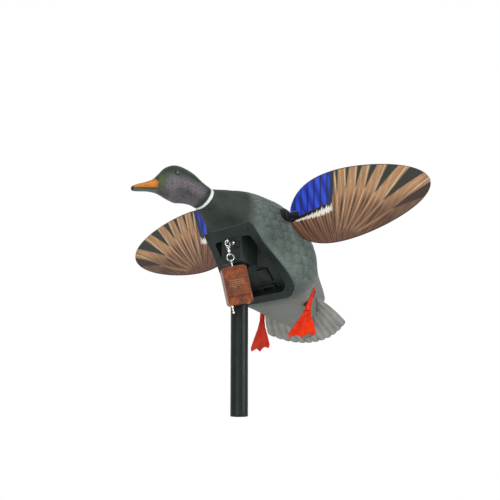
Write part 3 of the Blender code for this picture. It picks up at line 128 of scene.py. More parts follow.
class Nodes:
    """Short calls for building one material."""

    def __init__(self, name, roughness=0.5, metallic=0.0, coat=0.0, colour=(0.5, 0.5, 0.5)):
        self.material = bpy.data.materials.new(name)
        self.material.use_nodes = True
        self.tree = self.material.node_tree
        self.shader = self.tree.nodes["Principled BSDF"]
        self.shader.inputs["Roughness"].default_value = roughness
        self.shader.inputs["Metallic"].default_value = metallic
        self.shader.inputs["Base Color"].default_value = (*colour, 1.0)
        self.shader.inputs["Specular IOR Level"].default_value = 0.5 if metallic or coat else 0.22
        if coat:
            self.shader.inputs["Coat Weight"].default_value = coat
            self.shader.inputs["Coat Roughness"].default_value = 0.12

    def link(self, out, socket):
        if isinstance(out, (int, float)):
            socket.default_value = out
        elif isinstance(out, tuple):
            socket.default_value = (*out, 1.0) if len(socket.default_value) == 4 else out
        else:
            self.tree.links.new(out, socket)

    def node(self, kind, inputs, **settings):
        """A new node with its inputs set or linked, by name or number."""
        made = self.tree.nodes.new("ShaderNode" + kind)
        for name, value in settings.items():
            setattr(made, name, value)
        for socket, out in inputs.items():
            self.link(out, made.inputs[socket])
        return made.outputs

    def position(self, scale=(1.0, 1.0, 1.0), turn=(0.0, 0.0, 0.0)):
        place = self.node("TexCoord", {})["Object"]
        return self.node("Mapping", {"Scale": scale, "Rotation": turn, "Vector": place})["Vector"]

    def attribute(self, name, output="Fac"):
        return self.node("Attribute", {}, attribute_name=name)[output]

    def noise(self, vector, scale, detail=3.0, rough=0.55, distortion=0.0):
        texture = {"Vector": vector, "Scale": scale, "Detail": detail, "Roughness": rough}
        return self.node("TexNoise", {**texture, "Distortion": distortion})["Fac"]

    def math(self, operation, a, b=0.0):
        return self.node("Math", {0: a, 1: b}, operation=operation)[0]

    def spread(self, value, low, high, to_low=0.0, to_high=1.0):
        ends = {"From Min": low, "From Max": high, "To Min": to_low, "To Max": to_high}
        return self.node("MapRange", {"Value": value, **ends})["Result"]

    def mix(self, factor, a, b, blend="MIX"):
        inputs = {"Factor": factor, 6: a, 7: b}
        return self.node("Mix", inputs, data_type="RGBA", blend_type=blend)[2]

    def mottle(self, factor, dark, pale):
        return self.mix(self.spread(factor, 0.35, 0.65), dark, pale)

    def bump(self, height, strength=0.3, distance=0.0005):
        inputs = {"Strength": strength, "Distance": distance, "Height": height}
        self.link(self.node("Bump", inputs)["Normal"], self.shader.inputs["Normal"])

    def colour(self, out):
        self.link(out, self.shader.inputs["Base Color"])

    def rough(self, out):
        self.link(out, self.shader.inputs["Roughness"])


def plastic(name, colour, dark, roughness=0.45, grain=0.12, scale=600.0, coat=0.0):
    """A moulded plastic or paint: a faint mottle, worn sheen and fine grain."""
    m = Nodes(name, roughness, 0.0, coat)
    place = m.position()
    mottle = m.noise(place, 45.0, 5.0)
    m.colour(m.mix(m.spread(mottle, 0.3, 0.7), dark, colour))
    m.rough(m.spread(m.noise(place, 120.0, 3.0), 0.3, 0.7, roughness - 0.07, roughness + 0.1))
    m.bump(m.noise(place, scale, 2.0), grain, 0.0003)
    return m.material


def metal(name, colour, roughness=0.2, brushed=(1.0, 1.0, 1.0)):
    """A metal with fine streaks in its shine."""
    m = Nodes(name, roughness, 1.0, 0.0, colour)
    place = m.position(brushed)
    streak = m.noise(place, 350.0, 3.0)
    m.colour(m.mix(m.spread(streak, 0.3, 0.7), tuple(0.82 * c for c in colour), colour))
    m.rough(m.spread(streak, 0.3, 0.7, roughness * 0.7, roughness * 1.4))
    return m.material


def body_material():
    """Feathered grey-green plastic: scaly back, darker breast, paler rump with fine barring."""
    m = Nodes("feathered_plastic", 0.62)
    place = m.position()
    feather = m.attribute("feather")
    edge = m.attribute("feather_edge")
    breast = m.attribute("breast")
    rump = m.attribute("rump")
    cloud = m.noise(place, 38.0, 5.0, 0.6)
    fine = m.noise(place, 420.0, 4.0, 0.7)
    base = m.mottle(cloud, (0.064, 0.088, 0.079), (0.118, 0.148, 0.132))
    base = m.mix(m.spread(m.noise(place, 150.0, 4.0), 0.54, 0.66, 0.0, 0.6), base, (0.055, 0.072, 0.067))
    base = m.mix(m.spread(feather, 0.0, 1.0, 0.0, 0.35), base, (0.19, 0.225, 0.205))
    base = m.mix(m.math("MULTIPLY", edge, 0.62), base, (0.026, 0.040, 0.037))
    pale = m.mottle(fine, (0.17, 0.18, 0.165), (0.285, 0.295, 0.272))
    base = m.mix(m.math("MULTIPLY", rump, 0.75), base, pale)
    dark = m.mottle(cloud, (0.018, 0.025, 0.020), (0.035, 0.045, 0.036))
    base = m.mix(breast, base, dark)
    m.colour(m.mix(m.spread(fine, 0.3, 0.7, 0.0, 0.30), base, (0.30, 0.33, 0.31), "MULTIPLY"))
    m.rough(m.spread(cloud, 0.3, 0.7, 0.52, 0.7))
    m.bump(m.math("ADD", m.math("MULTIPLY", fine, 0.6), m.math("MULTIPLY", edge, -1.0)), 0.55, 0.0005)
    return m.material


def head_material():
    """Iridescent green and purple head, white neck ring and orange bill, mixed by painted masks."""
    m = Nodes("head_paint", 0.46)
    place = m.position()
    speck = m.noise(place, 700.0, 3.0, 0.8)
    cloud = m.noise(place, 60.0, 4.0)
    low = m.attribute("low")
    green = m.mottle(cloud, (0.009, 0.017, 0.012), (0.020, 0.038, 0.024))
    violet = m.mottle(speck, (0.030, 0.027, 0.032), (0.165, 0.140, 0.160))
    base = m.mix(m.math("MULTIPLY", low, m.spread(cloud, 0.25, 0.55)), green, violet)
    base = m.mix(m.attribute("cheek"), base, (0.055, 0.075, 0.030))
    base = m.mix(m.spread(speck, 0.60, 0.72, 0.0, 0.35), base, (0.20, 0.21, 0.20))
    orange = m.mottle(cloud, (0.28, 0.115, 0.012), (0.47, 0.150, 0.010))
    orange = m.mix(m.attribute("bill_mid"), orange, (0.24, 0.165, 0.022))
    base = m.mix(m.attribute("bill"), base, orange)
    base = m.mix(m.attribute("jaw"), base, (0.085, 0.105, 0.088))
    base = m.mix(m.attribute("gape"), base, (0.020, 0.022, 0.014))
    base = m.mix(m.attribute("nail"), base, (0.008, 0.008, 0.009))
    white = m.mix(m.spread(speck, 0.3, 0.7), (0.42, 0.45, 0.44), (0.74, 0.77, 0.75))
    m.colour(m.mix(m.attribute("collar"), base, white))
    m.rough(m.spread(speck, 0.3, 0.7, 0.36, 0.56))
    m.bump(m.noise(place, 900.0, 3.0, 0.7), 0.32, 0.0004)
    return m.material


def wing_material():
    """A printed sheet: the painted print with fine feather streaks under a light varnish."""
    m = Nodes("wing_print", 0.38, 0.0, 0.25)
    streaks = m.attribute("barbs", "Vector")
    fine = m.noise(streaks, 1.0, 4.0, 0.65)
    streaky = m.spread(fine, 0.35, 0.65, 0.0, 0.55)
    m.colour(m.mix(streaky, m.attribute("print", "Color"), (0.42, 0.36, 0.30), "MULTIPLY"))
    m.rough(m.spread(m.noise(m.position(), 60.0, 3.0), 0.3, 0.7, 0.28, 0.45))
    m.bump(fine, 0.05, 0.0002)
    return m.material


def wood_material():
    """Glossy brown lacquer over a curly grain."""
    m = Nodes("brown_lacquer", 0.3, 0.0, 0.12)
    place = m.position((1.0, 1.0, 0.55), (0.25, 0.5, 0.0))
    grain = m.noise(place, 70.0, 5.0, 0.55, 0.8)
    fine = m.noise(place, 420.0, 4.0, 0.7, 0.4)
    base = m.mix(m.spread(grain, 0.33, 0.66), (0.070, 0.014, 0.004), (0.225, 0.052, 0.011))
    base = m.mix(m.spread(fine, 0.45, 0.75, 0.0, 0.3), base, (0.40, 0.12, 0.03))
    m.colour(m.mix(m.spread(m.noise(place, 30.0, 2.0), 0.55, 0.7, 0.0, 0.45), base, (0.035, 0.008, 0.004)))
    m.rough(m.spread(fine, 0.3, 0.7, 0.18, 0.34))
    m.bump(grain, 0.12, 0.0003)
    return m.material


def tail_material():
    """Pale grey feathers with lighter veins and chevron barbs."""
    m = Nodes("tail_plastic", 0.6)
    place = m.position()
    vein = m.attribute("vein")
    fine = m.noise(m.attribute("barbs", "Vector"), 1.0, 3.0, 0.6)
    cloud = m.noise(place, 55.0, 4.0)
    base = m.mottle(cloud, (0.225, 0.238, 0.215), (0.380, 0.392, 0.362))
    base = m.mix(m.spread(fine, 0.35, 0.65, 0.0, 0.5), base, (0.13, 0.145, 0.135))
    base = m.mix(m.math("MULTIPLY", vein, 0.8), base, (0.46, 0.47, 0.44))
    base = m.mix(m.math("MULTIPLY", m.attribute("shade"), 0.75), base, (0.075, 0.085, 0.080))
    m.colour(base)
    m.bump(m.math("ADD", fine, m.math("MULTIPLY", m.noise(place, 600.0), 0.4)), 0.4, 0.0004)
    return m.material


def leg_material():
    """Orange-red plastic with a faint mottle."""
    m = Nodes("leg_orange", 0.45)
    place = m.position()
    cloud = m.noise(place, 70.0, 4.0)
    m.colour(m.mottle(cloud, (0.52, 0.017, 0.001), (0.72, 0.034, 0.002)))
    m.bump(m.noise(place, 500.0, 3.0), 0.15, 0.0003)
    return m.material


TRAY = plastic("tray_plastic", (0.018, 0.028, 0.025), (0.011, 0.018, 0.016), 0.36, 0.10, 800.0)
BLACK = plastic("black_plastic", (0.012, 0.013, 0.014), (0.007, 0.007, 0.008), 0.42)
RUBBER = plastic("rubber", (0.018, 0.019, 0.020), (0.011, 0.011, 0.012), 0.62, 0.3, 900.0)
PAINT = plastic("pole_paint", (0.010, 0.016, 0.015), (0.006, 0.010, 0.0095), 0.30, 0.08, 900.0)
EYE = plastic("eye_gloss", (0.012, 0.007, 0.004), (0.006, 0.004, 0.003), 0.08, 0.0, 300.0, 1.0)
BOARD = plastic("board", (0.02, 0.13, 0.05), (0.012, 0.09, 0.035), 0.45)
JACKET = plastic("cell_jacket", (0.30, 0.30, 0.32), (0.22, 0.22, 0.24), 0.3)
NICKEL = metal("nickel", (0.80, 0.79, 0.77), 0.14)
STEEL = metal("steel", (0.52, 0.52, 0.54), 0.32, (1.0, 6.0, 6.0))
DOTS = plastic("cover_dots", (0.36, 0.19, 0.09), (0.28, 0.14, 0.06), 0.4)
SCREW = metal("dark_screw", (0.055, 0.060, 0.062), 0.4)
BODY = body_material()
HEAD = head_material()
WING = wing_material()
WOOD = wood_material()
TAIL = tail_material()
ORANGE = leg_material()

# Nodes with no entry are black plastic
NODES_OF = (
    (PAINT, "pole"),
    (BODY, "body_shell"),
    (HEAD, "head"),
    (TAIL, "tail_fan"),
    (TRAY, "belly_tray battery_door door_latch"),
    (EYE, "eye_left eye_right"),
    (WING, "wing_left wing_right"),
    (ORANGE, "leg_left leg_right"),
    (STEEL, "motor_can motor_strap axle_shaft door_hinge_pin contact_strip_front contact_strip_rear"),
    (STEEL, "strap_screw_1 strap_screw_2"),
    (SCREW, "tray_screw_1 tray_screw_2 tray_screw_3 tray_screw_4 tray_screw_5 tray_screw_6"),
    (BOARD, "receiver_board remote_board"),
    (JACKET, "cell_1 cell_2 cell_3 cell_4 remote_cell"),
    (RUBBER, "power_button remote_button_on remote_button_off"),
    (NICKEL, "hub_magnet_left hub_magnet_right lanyard_eye snap_clasp clasp_gate swivel_eye key_ring"),
    (NICKEL, "remote_lug antenna_tube antenna_rod"),
    (WOOD, "remote_back_shell remote_front_shell remote_cover"),
)
CAD_LOOKS = {name: look for look, names in NODES_OF for name in names.split()}
for name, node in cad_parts.items():
    look = CAD_LOOKS.get(name, BLACK)
    node.data.materials.clear()
    node.data.materials.append(look)


# ---------------------------------------------------------------- shape helpers

def shade(piece, angle):
    """Smooth shading with sharp edges over an angle in degrees."""
    piece.data.shade_smooth()
    piece.data.set_sharp_from_angle(angle=math.radians(angle))


def link_piece(name, mesh, look, body, node=None, angle=35.0):
    """Puts a mesh in the scene as one piece that rides on a body and stands for a CAD node."""
    piece = placed(name, mesh)
    mesh.materials.clear()
    mesh.materials.append(look)
    shade(piece, angle)
    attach(piece, body)
    if node:
        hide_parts(node)
    return piece


def baked(piece):
    """The piece with its modifiers applied."""
    bpy.context.view_layer.update()
    graph = bpy.context.evaluated_depsgraph_get()
    solid = piece.evaluated_get(graph)
    mesh = bpy.data.meshes.new_from_object(solid, preserve_all_data_layers=True, depsgraph=graph)
    piece.modifiers.clear()
    old = piece.data
    piece.data = mesh
    bpy.data.meshes.remove(old)
    return piece


def grid_mesh(name, points, strip=False, flip=False):
    """A closed skin through a rows x columns grid of points. A strip has flat ends with two long sides."""
    rows, columns = points.shape[:2]
    mesh = bpy.data.meshes.new(name)
    index = np.arange(rows * columns).reshape(rows, columns)
    right = np.roll(index, -1, axis=1)
    faces = np.stack([index[:-1], right[:-1], right[1:], index[1:]], axis=-1).reshape(-1, 4).tolist()
    for line in (index[0][::-1], index[-1]):
        if strip:
            for i in range(columns // 2 - 1):
                faces.append([line[i], line[i + 1], line[columns - 2 - i], line[columns - 1 - i]])
        else:
            faces.append(line.tolist())
    if flip:
        faces = [face[::-1] for face in faces]
    mesh.from_pydata(points.reshape(-1, 3).tolist(), [], faces)
    mesh.validate()
    return mesh


def store(mesh, name, values):
    """A number at every vertex."""
    layer = mesh.attributes.new(name, "FLOAT", "POINT")
    layer.data.foreach_set("value", np.asarray(values, np.float32).ravel())


def store_vector(mesh, name, values):
    layer = mesh.attributes.new(name, "FLOAT_VECTOR", "POINT")
    layer.data.foreach_set("vector", np.asarray(values, np.float32).ravel())


def store_colour(mesh, name, values):
    layer = mesh.attributes.new(name, "FLOAT_COLOR", "POINT")
    full = np.concatenate([values, np.ones((len(values), 1))], axis=1)
    layer.data.foreach_set("color", full.astype(np.float32).ravel())


def cutter(name, shape, matrix):
    """The shape as a mesh with its faces outwards, in a frame. It frees the shape."""
    bmesh.ops.recalc_face_normals(shape, faces=shape.faces)
    bmesh.ops.transform(shape, matrix=matrix, verts=shape.verts)
    mesh = bpy.data.meshes.new(name)
    shape.to_mesh(mesh)
    shape.free()
    return mesh


def bmesh_piece(shape, name, matrix, look, body, node=None):
    """One piece from a shape."""
    return link_piece(name, cutter(name, shape, matrix), look, body, node)


def merged(*parts):
    """One shape from several, which it frees."""
    whole = bmesh.new()
    for part in parts:
        helper = bpy.data.meshes.new("helper")
        part.to_mesh(helper)
        part.free()
        whole.from_mesh(helper)
        bpy.data.meshes.remove(helper)
    return whole


def soften_edges(shape, width, segments, profile=0.5):
    """Rounds every edge of a shape by a width in millimetres."""
    how = {"segments": segments, "profile": profile, "affect": "EDGES"}
    bmesh.ops.bevel(shape, geom=list(shape.edges), offset=width * MM, **how)


TURN = {"X": Matrix.Rotation(math.radians(90.0), 4, "Y"), "Y": Matrix.Rotation(math.radians(-90.0), 4, "X")}
TURN["Z"] = Matrix.Identity(4)


def turned_shape(profile, axis="Z", centre=(0.0, 0.0, 0.0), steps=48):
    """A solid of revolution from (radius, height) points in millimetres."""
    shape = bmesh.new()
    line = [shape.verts.new((r * MM, 0.0, h * MM)) for r, h in profile]
    edges = [shape.edges.new(pair) for pair in zip(line, line[1:])]
    if profile[0][0] > 0 and profile[-1][0] > 0:
        edges.append(shape.edges.new((line[-1], line[0])))
    middle = {"cent": (0, 0, 0), "axis": (0, 0, 1)}
    bmesh.ops.spin(shape, geom=line + edges, angle=2 * math.pi, steps=steps, use_merge=True, **middle)
    where = Matrix.Translation(Vector(centre) * MM) @ TURN[axis]
    bmesh.ops.transform(shape, matrix=where, verts=shape.verts)
    bmesh.ops.remove_doubles(shape, verts=shape.verts, dist=0.0000005)
    return shape


def add_torus(shape, radius, wire, centre, axis, around=56, across=16):
    """Adds a ring about one axis, with its sizes in millimetres."""
    loops = []
    for i in range(around):
        a = 2 * math.pi * i / around
        out = Vector((math.cos(a), math.sin(a), 0.0))
        loop = []
        for j in range(across):
            b = 2 * math.pi * j / across
            p = out * (radius + wire * math.cos(b)) + Vector((0.0, 0.0, wire * math.sin(b)))
            loop.append(shape.verts.new(Matrix.Translation(Vector(centre) * MM) @ TURN[axis] @ (p * MM)))
        loops.append(loop)
    for i in range(around):
        here, there = loops[i], loops[(i + 1) % around]
        for j in range(across):
            k = (j + 1) % across
            shape.faces.new((here[j], here[k], there[k], there[j]))


def add_tube(shape, points, radius, sides=14):
    """Adds a round wire with closed ends along points in millimetres."""
    path = [Vector(p) * MM for p in points]
    normal = Vector((0.0, 1.0, 0.0))
    loops = []
    for i, here in enumerate(path):
        along = (path[min(i + 1, len(path) - 1)] - path[max(i - 1, 0)]).normalized()
        side = (normal - along * normal.dot(along)).normalized()
        up = along.cross(side)
        loop = []
        for j in range(sides):
            a = 2 * math.pi * j / sides
            loop.append(shape.verts.new(here + (side * math.cos(a) + up * math.sin(a)) * radius * MM))
        loops.append(loop)
    for here, there in zip(loops, loops[1:]):
        for j in range(sides):
            k = (j + 1) % sides
            shape.faces.new((here[j], here[k], there[k], there[j]))
    shape.faces.new(loops[0])
    shape.faces.new(loops[-1][::-1])


def softened(name, node, body, look, width=0.0006, segments=3, angle=30.0):
    """A copy of a CAD node with its edges rounded off."""
    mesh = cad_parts[node].data.copy()
    shape = bmesh.new()
    shape.from_mesh(mesh)
    bmesh.ops.remove_doubles(shape, verts=shape.verts, dist=0.000004)
    bmesh.ops.dissolve_limit(shape, angle_limit=math.radians(2.0), verts=shape.verts, edges=shape.edges)
    shape.to_mesh(mesh)
    shape.free()
    piece = link_piece(name, mesh, look, body, node, angle)
    if width:
        soft = piece.modifiers.new("Bevel", "BEVEL")
        soft.width = width
        soft.segments = segments
        soft.limit_method = "ANGLE"
        soft.angle_limit = math.radians(angle)
        soft.harden_normals = True
        baked(piece)
    return piece


# ---------------------------------------------------------------- lofted skins, as in the CAD but finer

# Rows of a loft: x, y, z, tilt, turn, half width, height up and down, and the fullness of each half.
# The body's are written without x and turn, which are 0.
BODY_ROWS = (
    (-91.0, -83.5, 22.0, 18.5, 18.5, 18.5, 2.0, 2.0),
    (-79.0, -74.0, 20.0, 24.0, 25.5, 23.0, 2.0, 2.0),
    (-64.0, -64.0, 14.0, 33.0, 38.0, 27.0, 2.0, 2.1),
    (-49.0, -58.0, 7.0, 42.0, 55.0, 22.0, 2.0, 2.6),
    (-34.0, -54.0, 0.0, 50.0, 71.0, 20.6, 2.0, 4.0),
    (-15.0, -52.0, 0.0, 54.5, 86.0, 22.6, 2.0, 7.0),
    (8.0, -52.0, 0.0, 58.5, 99.0, 22.6, 2.0, 8.0),
    (35.0, -52.0, 0.0, 64.0, 106.0, 22.6, 2.0, 8.0),
    (62.0, -52.0, 0.0, 69.0, 105.0, 22.6, 2.0, 8.0),
    (82.0, -51.0, 0.0, 68.0, 98.0, 23.6, 2.0, 6.0),
    (97.0, -49.0, 0.0, 62.0, 89.0, 25.0, 2.0, 4.0),
    (112.0, -45.0, 0.0, 56.0, 79.0, 23.0, 2.0, 3.0),
    (128.0, -40.0, 0.0, 50.5, 68.0, 21.0, 2.2, 2.4),
    (142.0, -37.0, 0.0, 45.0, 58.0, 17.0, 2.7, 2.2),
    (151.0, -35.0, 0.0, 40.0, 51.0, 14.5, 3.0, 2.0),
    (155.0, -34.0, 0.0, 33.0, 34.0, 13.5, 2.4, 2.0),
    (163.0, -33.0, 0.0, 26.0, 17.0, 11.5, 2.0, 2.0),
    (178.0, -32.0, 0.0, 17.0, 10.0, 8.5, 2.0, 2.0),
    (190.0, -31.0, 0.0, 9.0, 6.0, 6.0, 2.0, 2.0),
)
BODY_ROWS = [(0.0, y, z, tilt, 0.0, *rest) for y, z, tilt, *rest in BODY_ROWS]
HEAD_ROWS = (
    (0.0, -73.35, 305.85, -25.5, 0.0, 18.5, 18.5, 18.5, 2.0, 2.0),
    (-3.5, -86.0, 311.5, -22.0, -16.0, 18.4, 20.0, 19.0, 2.0, 2.0),
    (-9.5, -99.0, 317.5, -12.0, -27.0, 20.0, 26.0, 22.5, 2.0, 2.0),
    (-18.0, -113.5, 322.0, -2.0, -32.0, 21.5, 29.0, 26.5, 2.0, 2.0),
    (-25.5, -125.0, 322.5, 4.0, -33.0, 19.5, 24.0, 22.5, 2.0, 2.0),
    (-31.0, -133.5, 320.5, 8.0, -33.0, 15.0, 15.0, 15.5, 2.0, 2.0),
    (-35.0, -139.5, 318.5, 10.0, -33.0, 12.0, 10.0, 10.5, 2.0, 2.0),
    (-40.5, -148.0, 316.5, 12.0, -33.0, 11.0, 6.8, 6.8, 2.2, 2.2),
    (-46.0, -156.5, 314.6, 12.0, -33.0, 11.6, 5.2, 5.0, 2.2, 2.2),
    (-50.4, -163.3, 313.0, 12.0, -33.0, 9.0, 3.6, 3.6, 2.2, 2.2),
    (-52.0, -165.8, 312.4, 12.0, -33.0, 4.5, 2.0, 2.0, 2.2, 2.2),
)


def between(rows, steps):
    """Rows with more rows between them, on a Catmull-Rom curve, and the row number of each."""
    table = np.array(rows)
    out, where = [], []
    for i in range(len(rows) - 1):
        a = table[max(i - 1, 0)]
        b, c = table[i], table[i + 1]
        d = table[min(i + 2, len(rows) - 1)]
        for k in range(steps):
            t = k / steps
            out.append(b + 0.5 * t * (c - a + t * (2 * a - 5 * b + 4 * c - d + t * (3 * (b - c) + d - a))))
            where.append(i + t)
    out.append(table[-1])
    where.append(len(rows) - 1.0)
    return np.array(out), np.array(where)


def lofted(rows, steps, around):
    """Points of a loft in millimetres, the angle of each column and the row number of each row."""
    table, where = between(rows, steps)
    angles = np.linspace(0.0, 2 * math.pi, around, endpoint=False)
    c, s = np.cos(angles), np.sin(angles)
    points = np.zeros((len(table), around, 3))
    for i, (x, y, z, tilt, turn, half, up, down, n_up, n_down) in enumerate(table):
        power = 2.0 / np.where(s >= 0, n_up, n_down)
        across = np.copysign(np.abs(c) ** power, c) * half
        along = np.copysign(np.abs(s) ** power, s) * np.where(s >= 0, up, down)
        local = np.stack([across, np.zeros(around), along], axis=1)
        spin = Matrix.Rotation(math.radians(turn), 3, "Z") @ Matrix.Rotation(math.radians(tilt), 3, "X")
        points[i] = local @ np.array(spin).T + (x, y, z)
    return points, angles, where


def smooth_step(value, low, high):
    """0 below low, 1 above high and a smooth rise between them."""
    t = np.clip((value - low) / (high - low), 0.0, 1.0)
    return t * t * (3 - 2 * t)


def fall(value, low, high):
    """1 below low, 0 above high and a smooth fall between them."""
    return 1.0 - smooth_step(value, low, high)


def bell(distance, width):
    """1 where the distance is 0, falling off over a width on both sides."""
    return np.exp(-((distance / width) ** 2))


def wave(phase):
    """A sine between 0 and 1."""
    return 0.5 + 0.5 * np.sin(phase)


def normals_of(points):
    """Outward unit normals of a loft, closed around."""
    du = np.roll(points, -1, axis=1) - np.roll(points, 1, axis=1)
    dv = np.gradient(points, axis=0)
    n = np.cross(du, dv)
    length = np.linalg.norm(n, axis=2, keepdims=True)
    n = n / np.maximum(length, 1e-9)
    middle = points.mean(axis=1, keepdims=True)
    sign = np.sign(np.sum(n * (points - middle), axis=(1, 2)))
    return n * np.where(sign == 0, 1.0, sign)[:, None, None]


def scales(u, v, pitch_u, pitch_v):
    """Overlapping rounded scales: how far each point is inside its scale's edge, 0 at the edge."""
    best = np.full(u.shape, -9.0)
    for shift in (2, 1, 0):
        row = np.floor(v / pitch_v) + shift
        cu = (np.floor(u / pitch_u - 0.5 * (row % 2)) + 0.5 + 0.5 * (row % 2)) * pitch_u
        du = (u - cu) / (pitch_u * 0.62)
        dv = (v - row * pitch_v) / (pitch_v * 1.45)
        inside = 1.0 - np.sqrt(du * du + dv * dv)
        show = (inside > 0) & (best <= 0)
        best = np.where(show, inside, best)
    return np.clip(best, 0.0, 1.0)


def prism_shape(outline, low, high):
    """A flat outline of (x, y) points in millimetres, extruded along z."""
    shape = bmesh.new()
    top = [shape.verts.new((x * MM, y * MM, high * MM)) for x, y in outline]
    base = [shape.verts.new((x * MM, y * MM, low * MM)) for x, y in outline]
    shape.faces.new(top)
    shape.faces.new(base[::-1])
    for i in range(len(outline)):
        j = (i + 1) % len(outline)
        shape.faces.new((top[i], base[i], base[j], top[j]))
    return shape


def box_shape(low, high):
    """A box between two corners in millimetres."""
    outline = ((low[0], low[1]), (high[0], low[1]), (high[0], high[1]), (low[0], high[1]))
    return prism_shape(outline, low[2], high[2])


def boolean(piece, mesh, operation="DIFFERENCE"):
    """Cuts a mesh from a piece or joins it on, and removes the mesh."""
    other = placed("helper", mesh)
    step = piece.modifiers.new("Boolean", "BOOLEAN")
    step.operation = operation
    step.solver = "EXACT"
    step.object = other
    baked(piece)
    bpy.data.objects.remove(other)
    bpy.data.meshes.remove(mesh)


def rounded(corners, steps=8):
    """A closed outline from (x, y, radius) corners."""
    outline = []
    count = len(corners)
    for i, (x, y, radius) in enumerate(corners):
        here = Vector((x, y))
        before = (Vector(corners[i - 1][:2]) - here).normalized()
        after = (Vector(corners[(i + 1) % count][:2]) - here).normalized()
        half = before.angle(after) / 2
        reach = radius / math.tan(half)
        centre = here + (before + after).normalized() * radius / math.sin(half)
        first = here + before * reach - centre
        last = here + after * reach - centre
        for k in range(steps + 1):
            chord = first.lerp(last, k / steps)
            point = centre + chord.normalized() * radius if chord.length > 1e-6 else centre
            outline.append((point.x, point.y))
    return outline


# Half outlines as (x, y, corner radius)
TRAY_HALF = (
    (48.5, -35.0, 7.0),
    (51.5, 0.0, 60.0),
    (64.5, 52.0, 40.0),
    (63.5, 80.0, 16.0),
    (46.0, 95.5, 14.0),
)
TUB_HALF = (
    (36.5, -17.0, 6.0),
    (38.5, 0.0, 40.0),
    (50.5, 52.0, 40.0),
    (50.0, 74.0, 12.0),
    (40.0, 84.0, 10.0),
)


def outline_of(half, grow=0.0, steps=8):
    """Both sides of an outline from half of its corners, grown outwards."""
    middle = half[2][1]
    side = [(x + grow, y + (grow if y > middle else -grow if y < 0 else 0.0), r + grow) for x, y, r in half]
    return rounded(side + [(-x, y, r) for x, y, r in reversed(side)], steps)


# ---------------------------------------------------------------- body

def leg_frame(side, lean):
    """The frame at a leg's root."""
    root = Matrix.Translation((side * LEG_ROOT[0], LEG_ROOT[1], LEG_ROOT[2]))
    root = root @ Matrix.Rotation(math.radians(side * LEG_TURN), 4, "Z")
    return root @ Matrix.Rotation(math.radians(-lean), 4, "X")


SCALE_WIDTH = 13.0
SCALE_LENGTH = 11.5
ARC_PER_RADIAN = 62.0
body_points, body_angles, _ = lofted(BODY_ROWS, 12, 300)
outward = normals_of(body_points)
x, y, z = body_points[..., 0], body_points[..., 1], body_points[..., 2]
side_arc = (body_angles[None, :] - math.pi / 2) * ARC_PER_RADIAN
wander = 1.6 * np.sin(0.11 * y + 0.07 * side_arc)
along_back = -y + 0.10 * np.abs(side_arc) + wander
inside_scale = scales(np.abs(side_arc) + wander, along_back, SCALE_WIDTH, SCALE_LENGTH)
on_back = smooth_step(z, -72.0, -48.0) * smooth_step(-y, -150.0, -120.0) * smooth_step(y, -80.0, -55.0)
feather_edge = fall(inside_scale, 0.0, 0.15) * on_back
edge_dip = 0.55 * fall(inside_scale, 0.0, 0.22)
lift = (0.15 - edge_dip - 0.3 * smooth_step(inside_scale, 0.3, 1.0)) * on_back
barbs = 0.05 * np.sin(side_arc * 2.4 + 0.6 * np.sin(y * 0.7)) * on_back
flank = smooth_step(z, -58.0, -48.0) * fall(z, -35.0, -15.0)
ripple = 0.22 * np.sin(y * 0.42 + 0.05 * side_arc) * flank
rump = smooth_step(y, 92.0, 112.0) * fall(z, 0.0, 28.0)
rump_lines = np.sin(y * 1.5 + 0.4 * np.sin(x * 0.25)) * rump * 0.10
near_end = smooth_step(y, -88.0, -78.0) * fall(y, 180.0, 188.0)
tray_zone = smooth_step(z, -68.0, -60.0)
push = (lift + barbs + ripple + rump_lines - 0.25) * near_end * tray_zone - 0.02
body_points = body_points + outward * push[..., None]
skin = grid_mesh("decoy_body", body_points * MM)
store(skin, "feather", (inside_scale * on_back))
store(skin, "feather_edge", feather_edge)
breast_line = -y - 42.0 - 0.55 * (z + 50.0)
store(skin, "breast", smooth_step(breast_line, -8.0, 12.0))
store(skin, "rump", (rump * fall(y, 186.0, 192.0)))
body_piece = link_piece("decoy_body", skin, BODY, "bird", "body_shell", 40.0)
skin.transform(BIRD)
BOSS_PROFILE = ((0.0, 37.0), (14.2, 37.0), (14.2, 45.6), (13.2, 46.9), (0.0, 46.9))
for _, side in SIDES:
    boss = turned_shape(BOSS_PROFILE, "X", steps=64)
    if side < 0:
        bmesh.ops.scale(boss, vec=(-1.0, 1.0, 1.0), verts=boss.verts)
    boolean(body_piece, cutter("boss", boss, BIRD), "UNION")
boolean(body_piece, cutter("rebate", prism_shape(outline_of(TRAY_HALF, 0.3, 12), -100.0, -71.9), BIRD))
boolean(body_piece, cutter("tub", prism_shape(outline_of(TUB_HALF, 2.5, 12), -95.0, -52.6), BIRD))
LEG_ROOM = ((-7.5, -5.0, -34.0), (7.5, 5.0, 2.3))
TAIL_SLOT = ((-49.0, 120.7, -31.6), (49.0, 150.0, -28.4))
for _, side, lean in LEGS:
    boolean(body_piece, cutter("leg_room", box_shape(*LEG_ROOM), leg_frame(side, lean)))
boolean(body_piece, cutter("tail_slot", box_shape(*TAIL_SLOT), BIRD))
shade(body_piece, 42.0)


# ---------------------------------------------------------------- head

